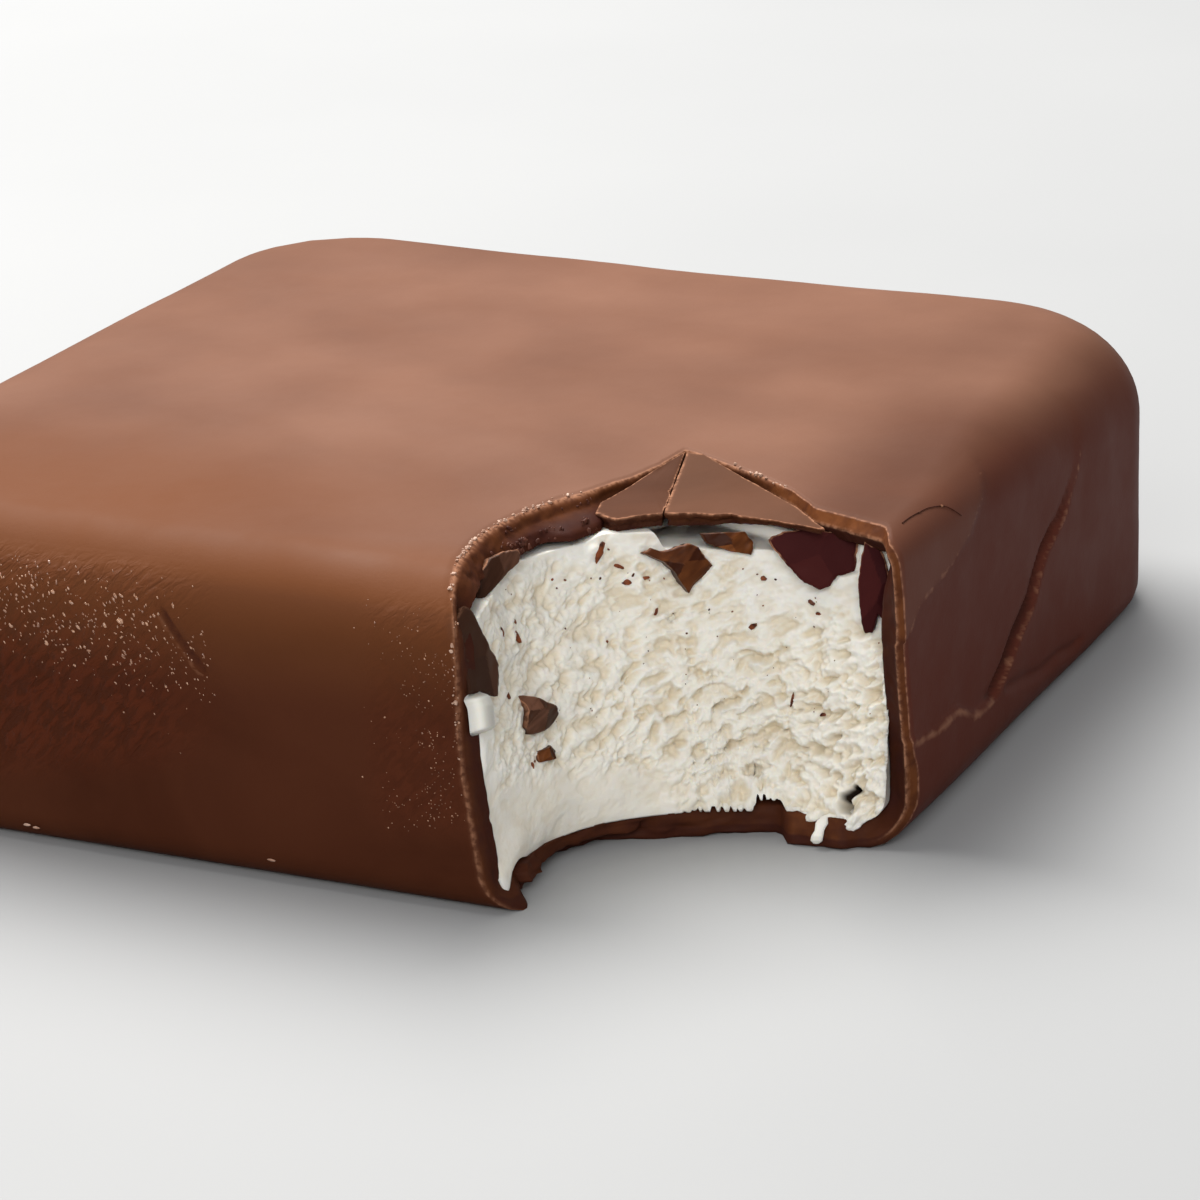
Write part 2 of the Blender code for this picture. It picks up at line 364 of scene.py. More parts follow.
@dataclass(frozen=True)
class Columns:
    """Lengthwise lines of the sock, one entry for each, read once round the bar's section.

    lateral runs from -1 at the front side to 1 at the right side, top_turn and base_turn from 0 at the wall
    to a quarter turn on the flat, and rise from 0 on the base to 1 on the top.
    """

    lateral: Array
    top_turn: Array
    base_turn: Array
    rise: Array

    @staticmethod
    def round_the_section(top: int, fillet: int, wall: int, base_fillet: int, base: int) -> "Columns":
        """Spread columns over the top, its edges, the walls, the base's edges and the base.

        Args:
            top: Columns on the flat top.
            fillet: Columns on each top edge.
            wall: Columns on each wall.
            base_fillet: Columns on each base edge.
            base: Columns on the flat base.

        Returns:
            The columns, from the top's right side over the front wall and back up the right wall.
        """
        def share(count: int) -> Array:
            return (np.arange(count) + 0.5) / count

        def stretch(lateral: Array, top_turn: Array | float, base_turn: Array | float,
                    rise: Array | float) -> Array:
            return np.stack(np.broadcast_arrays(lateral, top_turn, base_turn, rise))

        one = np.ones
        return Columns(*np.concatenate((
            stretch(1 - 2 * share(top), QUARTER, 0.0, 1.0),
            stretch(-one(fillet), QUARTER * (1 - share(fillet)), 0.0, 1.0),
            stretch(-one(wall), 0.0, 0.0, 1 - share(wall)),
            stretch(-one(base_fillet), 0.0, QUARTER * share(base_fillet), 0.0),
            stretch(2 * share(base) - 1, 0.0, QUARTER, 0.0),
            stretch(one(base_fillet), 0.0, QUARTER * (1 - share(base_fillet)), 0.0),
            stretch(one(wall), 0.0, 0.0, share(wall)),
            stretch(one(fillet), QUARTER * share(fillet), 0.0, 1.0)), axis=1))

    @property
    def top(self) -> Array:
        """1 on the flat top, easing to 0 at the walls."""
        return self.rise * np.sin(self.top_turn) ** 2

    @property
    def base(self) -> Array:
        """1 on the flat base, easing to 0 at the walls."""
        return (1 - self.rise) * np.sin(self.base_turn) ** 2

    def wall(self, side: int) -> Array:
        """1 on the right wall for side 1, or on the front wall for side -1."""
        return (1 - self.top - self.base) * (self.lateral * side > 0)


@dataclass(frozen=True)
class BarForm:
    """Rounded block that the bar's skin follows, measured from the corner that the bite took away.

    A place on it is told by its column and by its distance along the plan's diagonal.
    """

    side: float
    height: float
    corner_x: float
    corner_y: float
    plan_radius: float = 12.5 * MM
    right_edge_radii: Table = ((12, 1.9), (20, 2.6), (34, 5.2), (54, 7.4), (78, 7.2), (96, 5.6))
    front_edge_radii: Table = ((12, 4.2), (24, 5.0), (54, 5.6))
    right_base_radii: Table = ((12, 3.2), (20, 2.6), (40, 2.0))
    base_radius: float = 2 * MM
    least_radius: float = 0.35 * MM
    shell: float = 1.8 * MM
    crown: float = 0.2 * MM
    sag: float = 0.6 * MM
    sag_place: tuple[float, float] = (0.342, -0.184)
    sag_spread: float = 13 * MM

    @staticmethod
    def from_frame() -> "BarForm":
        """Take the side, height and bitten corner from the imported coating."""
        low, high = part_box("coating")
        return BarForm(high.x - low.x, high.z - low.z, high.x, low.y)

    def half_width(self, along: Array, inset: Array) -> Array:
        """Half the plan's width across the diagonal.

        It grows as the distance along, rounds the two side corners as a circle, shrinks again, and closes
        as a circle at the far corner.

        Args:
            along: Distance along the diagonal.
            inset: How far inside the outline.

        Returns:
            Half widths.
        """
        span = self.side * ROOT2
        mid, shift = span / 2, ROOT2 * (self.side / 2 - self.plan_radius)
        radius = self.plan_radius - inset
        reach = radius / ROOT2
        growing = along - inset * ROOT2
        side_arc = shift + np.sqrt(np.maximum(radius**2 - (along - mid) ** 2, 0.0))
        shrinking = span - along - inset * ROOT2
        far_arc = np.sqrt(np.maximum(radius**2 - (along - mid - shift) ** 2, 0.0))
        width = np.where(along < mid - reach, growing, side_arc)
        width = np.where(along > mid + reach, shrinking, width)
        return np.where(along > mid + shift + reach, far_arc, width)

    def radii(self, columns: Columns, along: Array) -> tuple[Array, Array]:
        """Radii of the top and base edges: tight on the right side by the bite, fuller further back."""
        on_right = columns.lateral > 0
        top = np.where(on_right, read(self.right_edge_radii, along / MM),
                       read(self.front_edge_radii, along / MM))
        base = np.where(on_right, read(self.right_base_radii, along / MM), self.base_radius / MM)
        return top * MM, base * MM

    def insets(self, columns: Columns, along: Array, depth: Array | float) -> tuple[Array, Array, Array]:
        """Top radius, base radius and the plan inset that they give, under the skin by the depth."""
        top, base = (np.maximum(radius - depth, self.least_radius) for radius in self.radii(columns, along))
        inset = columns.rise * top * (1 - np.cos(columns.top_turn))
        return top, base, inset + (1 - columns.rise) * base * (1 - np.cos(columns.base_turn))

    def toe(self, columns: Columns, depth: float) -> Array:
        """Distance along the diagonal at which each column reaches the far corner."""
        inset = self.insets(columns, np.full(columns.lateral.shape, self.side * ROOT2), depth)[2]
        centre = self.side / ROOT2 + ROOT2 * (self.side / 2 - self.plan_radius)
        return centre + self.plan_radius - depth - inset

    def top_drop(self, x: Array, y: Array) -> Array:
        """How far the top lies below its highest point: a slight crown and a sag beside the bite."""
        crown = self.crown * np.maximum(np.abs(x), np.abs(y)) ** 2 / (self.side / 2) ** 2
        away = np.hypot(x - self.sag_place[0] * self.side, y - self.sag_place[1] * self.side)
        return crown + self.sag * np.exp(-0.5 * (away / self.sag_spread) ** 2)

    def place(self, columns: Columns, along: Array, depth: Array | float) -> Array:
        """Points on the block's skin or under it.

        The section at the distance along is a rounded rectangle: the inset and height follow quarter circles
        at its edges, and the plan's half width gives the place across.

        Args:
            columns: The sock's columns.
            along: Distance along the diagonal, (columns) or (rows, columns).
            depth: Depth under the skin.

        Returns:
            Array (..., 3).
        """
        top, base, inset = self.insets(columns, along, depth)
        across = columns.lateral * self.half_width(along, depth + inset)
        x = self.corner_x + (across - along) / ROOT2
        y = self.corner_y + (across + along) / ROOT2
        high = self.height - depth - self.top_drop(x, y) - top * (1 - np.sin(columns.top_turn))
        low = depth + base * (1 - np.sin(columns.base_turn))
        return np.stack((x, y, columns.rise * high + (1 - columns.rise) * low), axis=-1)

    def angle(self, points: Array) -> Array:
        """Plan angle of points about the bitten corner, in degrees from +X."""
        return np.degrees(np.arctan2(points[..., 1] - self.corner_y, points[..., 0] - self.corner_x)) % 360

    def at(self, angle: Array, radius: Array, z: Array) -> Array:
        """Point at a plan angle, a distance from the bitten corner and a height."""
        turn = np.radians(angle)
        x, y = self.corner_x + radius * np.cos(turn), self.corner_y + radius * np.sin(turn)
        return np.stack(np.broadcast_arrays(x, y, z), axis=-1)


@dataclass(frozen=True)
class BrokenEdge:
    """Where the shell broke round the bite, and the shape of the broken face through its thickness."""

    form: BarForm
    wall_edge: Table = ((90, 19.1), (102, 19.6), (115, 21.4), (150, 22.0), (180, 22.0))
    right_lean: float = 1.5
    foot_ledge: Table = ((90, 1.1), (102, 1.5), (114.4, 2.2), (115.6, 1.1), (125, 0.9), (131, 0.7),
                         (138, 0.4), (148, -0.2), (153, -0.4), (157, 0.1), (161, 0.6), (165, 0.8),
                         (168, 1.2), (173, 2.4), (180, 3.8))
    foot_height: float = 3.5 * MM
    lip_start: float = 4.8 * MM
    lip_end: float = 2.2 * MM
    lip_crack: Table = ((90, 17.2), (93, 17.5), (96, 19.7), (103, 21.4), (109, 23.2), (114, 28.4),
                        (119.5, 33.2), (123.3, 36.6), (127, 34.0), (131, 32.2), (138, 30.4), (149, 28.7),
                        (157, 27.1), (170, 23.9), (180, 22.0))
    chamfer_share: float = 0.26
    lip_share: float = 0.45
    rough: float = 0.2 * MM

    def distance(self, columns: Columns, points: Array, share: float, noise: Noise) -> Array:
        """Distance of the broken face from the bitten corner.

        A ledge at the foot, plain walls and the cracked lip follow one another with the height. The recess
        through the thickness and two layers of noise are added.

        Args:
            columns: The sock's columns.
            points: Where the face was last found.
            share: Depth as a share of the shell, 0 at the skin.
            noise: Roughness.

        Returns:
            Distances, one for each column.
        """
        angle, z = self.form.angle(points), points[..., 2]
        lean = self.right_lean * ease((z / MM - 4) / 13) * ease((101 - angle) / 6)
        by_front = ease((angle - 170) / 4)
        ledge = read(self.foot_ledge, angle) * (1 - ease(z / self.foot_height)) * (1 - by_front)
        toe = 1.1 * (1 - ease(z / (12 * MM))) + 2.1 * np.maximum(0.0, 1 - z / (3 * MM)) ** 3
        wall = (read(self.wall_edge, angle) - lean - ledge - by_front * toe) * MM
        start, end = self.form.height - self.lip_start, self.form.height - self.lip_end
        edge = wall + (read(self.lip_crack, angle) * MM - wall) * ease((z - start) / (end - start))
        strength = columns.top + 0.45 * (1 - columns.top)
        strength = strength + columns.base * (0.8 + 1.3 * between(angle, 121, 168, 5.0))
        torn = noise.layered(points * (1, 1, 0.6), 2.6 * MM, 3, 0.55)
        notches = ease((noise.smooth(points + 9.0, 1.3 * MM) - 0.18) / 0.2)
        crisp = noise.layered(points + share * 0.8 * MM, 0.7 * MM, 2) * 0.11 * MM
        return (edge + self.recess(columns, angle, z, share) * MM
                + strength * (self.rough * (torn + 0.9 * notches) + crisp))

    def recess(self, columns: Columns, angle: Array, z: Array, share: float) -> Array:
        """How far the broken face lies back, in millimetres, at a share of the depth.

        The lip is rounded over and slants outwards on the left, where a second layer shows under it. The
        right wall has a chamfer outside a crest. The foot has a block that stands out at the right, a flaky
        middle and a small chunk near the front wall.
        """
        right_lip = ease((117 - angle) / 5)
        left_lip = between(angle, 134, 177, 6.0)
        outer = max(0.0, 1 - share / 0.2) ** 2
        layer = float(ease((share - 0.46) / 0.1)) * between(angle, 136, 155, 2.0)
        reach = 1.2 * between(angle, 131, 148, 4.0) * float(ease((share - 0.4) / 0.4))
        lip = 0.3 * outer + 0.25 * share * (1 - left_lip) - left_lip * (1.1 * share + 0.8 * layer) - reach
        slant = 0.7 * max(0.0, 1 - share / self.lip_share) + 1.4 * max(0.0, share - self.lip_share)
        top = lip * (1 - right_lip) + slant * right_lip
        left = 0.22 * max(0.0, 1 - share / 0.16) ** 2 - 0.3 * share
        chamfer = (0.4 + 0.75 * (1 - ease((z / MM - 4.5) / 2.5))) * max(0.0, 1 - share / self.chamfer_share)
        inner = max(0.0, (share - self.chamfer_share) / (1 - self.chamfer_share)) ** 0.8
        right = chamfer + (0.6 + 1.0 * ease((z / MM - 14) / 5)) * inner
        flaky = between(angle, 137, 172, 6.0)
        block = ease((angle - 99) / 6) * ease((114.6 - angle) / 0.35 + 0.5)
        chunk = between(angle, 163.2, 168.6, 0.5)
        base = (0.3 * max(0.0, 1 - share / 0.15) ** 2 - 0.8 * block - 0.9 * chunk
                + 0.9 * flaky * (1 - float(ease((share - 0.36) / 0.1))))
        return (columns.top * top + columns.wall(-1) * left + columns.wall(1) * right + columns.base * base)

    def marks(self, columns: Columns, angle: Array, share: float) -> dict[str, Array]:
        """Point attributes of the broken face at a share of the depth.

        Returns:
            amber, how orange the break looks, partly its own colour and partly painted light that fades down
            the lip's face and lies on the chamfer turned to the light; crest, painted highlights on its pale
            thin edges.
        """
        right_lip = ease((117 - angle) / 5)
        inward = 1 - float(ease((share - 0.15) / 0.5))
        layer = between(angle, 136, 155, 2.0) * (share > 0.5)
        # the lip's amber fades with depth: painted light on its upper part, over the break's own orange
        lip_amber = 0.62 * (1 - 0.7 * share) * (1 - layer) * (1 - right_lip)
        lip_amber = lip_amber + right_lip * (0.85 if share < self.lip_share else 0.0)
        amber = columns.top * lip_amber
        # the chamfer strip faces the light: its amber is partly painted light
        amber = amber + columns.wall(1) * (0.6 if share < self.chamfer_share else 0.0)
        amber = amber + columns.wall(-1) * 0.25 * inward
        foot = (0.3 if share > 0.4 else 0.03) * (0.6 + between(angle, 103.5, 114.5, 1.2))
        amber = amber + columns.base * foot
        # crest: painted highlights on the chamfer's crest, the right lip's crest and the outer edges
        crest = columns.wall(1) * hump(share, self.chamfer_share, 0.03)
        crest = crest + columns.top * right_lip * hump(share, self.lip_share, 0.04)
        crest = crest + (0.5 * columns.wall(-1) + columns.top * (1 - right_lip)) * hump(share, 0.0, 0.05)
        return {"amber": amber, "crest": np.clip(crest, 0.0, 1.0)}


@dataclass
class Coating:
    """Chocolate shell: smooth outer skin, broken edge at the bite and the inner skin, as one closed sock."""

    form: BarForm
    edge: BrokenEdge
    outer_rows: int = 218
    broken_rows: int = 15
    inner_rows: int = 11
    near_share: float = 0.24
    row_power: float = 1.75
    sunk: float = 0.12 * MM
    curl: float = 0.1 * MM
    curl_width: float = 0.5 * MM
    crest_width: float = 0.18 * MM
    least_sunk: float = 0.02 * MM
    toe_fade: float = 12 * MM
    base_fade: tuple[float, float] = (0.2 * MM, 1.4 * MM)
    ridge_path: Table = ((14.6, 17.6), (13.6, 15.2), (10.9, 12.7), (7.0, 11.0), (4.2, 8.4), (1.5, 7.0),
                         (-0.8, 5.4), (-3.4, 4.2), (-6.6, 4.5), (-10.6, 6.1), (-14.5, 6.3), (-18.8, 6.8))
    branch_path: Table = ((9.4, 12.8), (13.9, 11.3), (19.0, 9.8))
    low_path: Table = ((-0.8, 4.4), (6.6, 2.9), (14.0, 2.4))
    film_path: Table = ((-2.8, 20.2), (-4.9, 19.3), (-6.9, 18.5), (-7.9, 17.6), (-9.2, 17.3), (-11.5, 16.6),
                        (-14.3, 16.3), (-17.3, 15.8), (-18.9, 14.8))
    scratch_path: Table = ((-4.6, 17.3), (-3.4, 15.6), (-1.9, 13.8))

    def __post_init__(self) -> None:
        """Work out the columns, the mouth and the outer skin once, for this piece and what sits on it.

        Rows follow along = mouth + (toe - mouth) g(v), where g mixes v and a power of v so that they are
        closest at the mouth. The relief fades at the toe and at the base.
        """
        form = self.form
        self.columns = Columns.round_the_section(top=150, fillet=15, wall=78, base_fillet=5, base=60)
        self.edge_noise = Noise(11)
        v = np.linspace(0.0, 1.0, self.outer_rows)[:, None]
        spread = self.near_share * v + (1 - self.near_share) * v**self.row_power
        mouth, toe = self.mouth(0.0), form.toe(self.columns, 0.0)
        along = mouth + (toe - mouth) * spread
        smooth = form.place(self.columns, along, 0.0)
        height, self.masks = self.relief(smooth)
        gap = (along - mouth) * np.where(self.columns.top + self.columns.base > 0.5, 1.0, ROOT2)
        curl = self.curl * (1 - ease(gap / self.curl_width))
        height = np.minimum(height - self.sunk - curl, -self.least_sunk)
        low, high = self.base_fade
        height = height * ease((toe - along) / self.toe_fade) * ease((smooth[..., 2] - low) / (high - low))
        normal = facing(smooth, closed=True)
        self.normal = normal * np.sign(np.sum(normal[30] * (smooth[30] - smooth[30].mean(axis=0))))
        self.skin = smooth + self.normal * height[..., None]
        self.shift = self.skin[0] - smooth[0]
        # painted highlight along the mouth's outer edge, weaker on the base and the left wall
        fade = 0.8 - 0.5 * self.columns.base - 0.25 * self.columns.wall(-1)
        self.masks["crest"] = (1 - ease(gap / self.crest_width)) * fade

    def mouth(self, share: float) -> Array:
        """Distance along the diagonal at which each column meets the broken face, found by repetition."""
        along = np.full(self.columns.lateral.shape, 15 * MM)
        for _ in range(16):
            points = self.form.place(self.columns, along, share * self.form.shell)
            radius = self.edge.distance(self.columns, points, share, self.edge_noise)
            turn = np.radians(DIAGONAL_ANGLE - self.form.angle(points))
            along = 0.5 * along + 0.5 * radius * np.cos(turn)
        return along

    def relief(self, points: Array) -> tuple[Array, dict[str, Array]]:
        """Raised and sunk features of the outer skin.

        Args:
            points: Points of the smooth skin.

        Returns:
            Height above the smooth skin, and masks: frost where it is wrinkled and dewy, pale lines that
                paint
            highlights on crests and dark lines that paint shade in grooves, a painted sheen where the top is
            painted pale as lit, painted light where the skin is painted tan as lit, and a painted reflection
            where the right face is painted purplish.
        """
        broad, fine = Noise(5), Noise(23)
        x, y, z = points[..., 0] / MM, points[..., 1] / MM, points[..., 2] / MM
        half = self.form.side / MM / 2
        swell = broad.layered(points, 26 * MM, 2) * 0.3 * MM + broad.smooth(points, 6 * MM) * 0.04 * MM
        front = ease((-y - half + 4.0) / 3.0)
        wrinkled = front * ease((x + 30) / 6) * ease((0.5 - x) / 8.0) * ease((z - 6.5 - 0.2 * x) / 4.0)
        wrinkled = wrinkled * ease((20.4 - z) / 1.8)
        near_bite = front * between(x, 8.5, 17.5, 3.0) * ease((z - 4.0) / 3.0) * ease((20.6 - z) / 2.0)
        slanted = np.stack((x * 0.75 + z * 0.75, y * 0.6, z * 0.3 - x * 0.3), axis=-1) * MM
        wrinkles = fine.ridged(slanted, 1.05 * MM, 2, 0.6) * 0.15 * MM
        scratch_gap = path_distance(x, z, self.scratch_path)[0]
        scratch = front * (0.2 * hump(scratch_gap, 0.28, 0.2) - 0.28 * hump(scratch_gap, -0.12, 0.18)) * MM
        right = ease((x - half + 3.0) / 2.0)
        wander = fine.smooth(points, 3.0 * MM) * 0.35
        gap, passed = path_distance(y, z, self.ridge_path)
        gap = gap + wander
        crest = hump(gap, 0.0, 0.2)
        lap = ease(0.5 - gap / 1.2) * np.exp(-np.maximum(-gap, 0.0) / 6.0)
        shaded_groove = hump(gap, 0.62, 0.34) * between(passed, 0.1, 0.72, 0.15)
        branch = hump(path_distance(y, z, self.branch_path)[0] + wander, 0.0, 0.35)
        low = hump(path_distance(y, z, self.low_path)[0] + wander, 0.0, 0.3)
        film_gap = path_distance(y, z, self.film_path)[0] + wander * 0.6
        film = hump(film_gap, 0.0, 0.24)
        film_step = ease(film_gap / 0.7 + 0.5) * np.exp(-np.abs(film_gap) / 3.0)
        beady = 0.75 + 0.9 * fine.smooth(points, 0.8 * MM)
        folds = (0.24 * crest * beady + 0.3 * lap - 0.5 * shaded_groove + 0.12 * branch - 0.26 * low
                 + 0.05 * film + 0.24 * film_step) * right
        dimples = fine.layered(points, 0.9 * MM, 2) * 0.012 * MM
        height = swell + dimples + (wrinkled + 0.5 * near_bite) * wrinkles + scratch + folds * MM
        # painted sheen: the top is painted paler where overhead light would give it a satin sheen, less
        # towards the front-left and the right edge
        dusty = self.columns.top * (0.84 + 0.3 * broad.layered(points, 17 * MM, 2))
        towards = ease((-10 - y) / 20) * ease((18 - x) / 30)
        dusty = dusty * (1 - 0.35 * towards) * (1 - 0.62 * ease((x - 24) / 10) * ease((14 - y) / 12))
        # painted reflection: a paler patch painted on the right face beside the film
        under_film = right * ease(film_gap / 0.5 + 0.5) * ease((-1.5 - y) / 3.0)
        dusty = dusty + 0.2 * under_film * (1 - self.columns.top)
        # painted light: the top by the front edge and towards the front-left, and the front wall's upper
        # part, are painted tan as lit from above
        near_edge = 0.6 * ease((-y - 28) / 6)
        painted_light = np.maximum(0.8 * towards, near_edge) * ease((z - 19.0) / 1.5)
        painted_light = painted_light + 0.6 * front * ease((z - 11.5) / 7.0)
        painted_light = np.minimum(painted_light, 0.85) * ease((24 - x) / 6)
        uneven = 0.3 * fine.smooth(points, 0.7 * MM)
        # painted highlights: pale lines along the ridge's crest, the film's edge and the scratch
        pale = tent(gap, 0.0, 1.6) * (0.9 + 0.07 * ease((passed - 0.6) / 0.1) + uneven)
        pale = np.maximum(pale, tent(film_gap, 0.0, 1.6) * (0.86 + uneven))
        pale = np.maximum(right * pale, front * tent(scratch_gap, 0.32, 1.4) * (0.9 + 0.4 * uneven))
        # painted shade: dark lines along the groove beside the ridge and on the scratch's lower side
        dark = tent(gap, 0.5, 1.6) * (0.86 + 0.14 * between(passed, 0.2, 0.68, 0.2) + 0.3 * uneven)
        dark = right * dark * between(passed, 0.05, 0.76, 0.1)
        dark = np.maximum(dark, front * tent(scratch_gap, -0.08, 1.4) * (0.9 + 0.4 * uneven))
        # painted reflection: the right face below the top is painted purplish
        return height, {"frost": np.clip(wrinkled + 0.5 * near_bite, 0, 1), "painted_highlight_line": np.clip(pale, 0, 1),
                        "shaded_groove": dark, "painted_light": np.clip(painted_light, 0, 1),
                        "painted_side_sheen": 0.85 * right * (1 - self.columns.top),
                        "bloom": np.clip(dusty, 0, 1)}

    def surface(self) -> Surface:
        """Points, faces and masks of the closed shell.

        Rows run from the toe over the outer skin to the mouth, through the shell's thickness, and back to the
        toe on the inner skin.
        """
        form, columns = self.form, self.columns
        empty = np.zeros(self.skin.shape[:2])
        rows = [self.skin[::-1]]
        marks = {name: [self.masks.get(name, empty)[::-1]] for name in CHOCOLATE_MARKS}
        zero = np.zeros((1, self.skin.shape[1]))

        def add_rows(points: Array, found: dict[str, Array]) -> None:
            rows.append(points)
            for name in CHOCOLATE_MARKS:
                marks[name].append(np.broadcast_to(found.get(name, zero), points.shape[:2]))

        for share in np.linspace(0.0, 1.0, self.broken_rows + 1)[1:] ** 1.2:
            along = self.mouth(share)
            points = form.place(columns, along, share * form.shell) + self.shift * (1 - share)[..., None]
            found = self.edge.marks(columns, form.angle(points), share)
            add_rows(points[None], {"broken": zero + 1.0} | {key: mark[None] for key, mark in found.items()})
        w = np.linspace(0.0, 1.0, self.inner_rows + 1)[1:, None]
        inner = form.place(columns, along + (form.toe(columns, form.shell) - along) * w**1.6, form.shell)
        add_rows(inner, {"broken": zero + 1.0})
        return Surface.on_grid(np.concatenate(rows), closed=True, attributes={
            name: np.concatenate(mark).ravel() for name, mark in marks.items()})

    def front_places(self, x: Array, z: Array) -> tuple[Array, Array]:
        """Points and normals of the front skin nearest to places (x, z)."""
        on_wall = (self.columns.lateral < 0) & (self.columns.base_turn == 0) & (self.columns.top_turn < 1.2)
        points, normals = (part[:, on_wall].reshape(-1, 3) for part in (self.skin, self.normal))
        keep = points[:, 1] < self.form.corner_y + 6 * MM
        points, normals = points[keep], normals[keep]
        away = (points[None, :, 0] - x[:, None]) ** 2 + (points[None, :, 2] - z[:, None]) ** 2
        nearest = np.argmin(away, axis=1)
        found, out = points[nearest], normals[nearest]
        step_x, step_z = x - found[:, 0], z - found[:, 2]
        lean = -(out[:, 0] * step_x + out[:, 2] * step_z) / np.minimum(out[:, 1], -0.2)
        return found + np.column_stack((step_x, lean, step_z)), out

    def build(self, finish: bpy.types.Material) -> None:
        """Make the shell and set it on the frame."""
        hand_over(self.surface().build("coating_skin", sharp_degrees=70), finish, ("coating",))


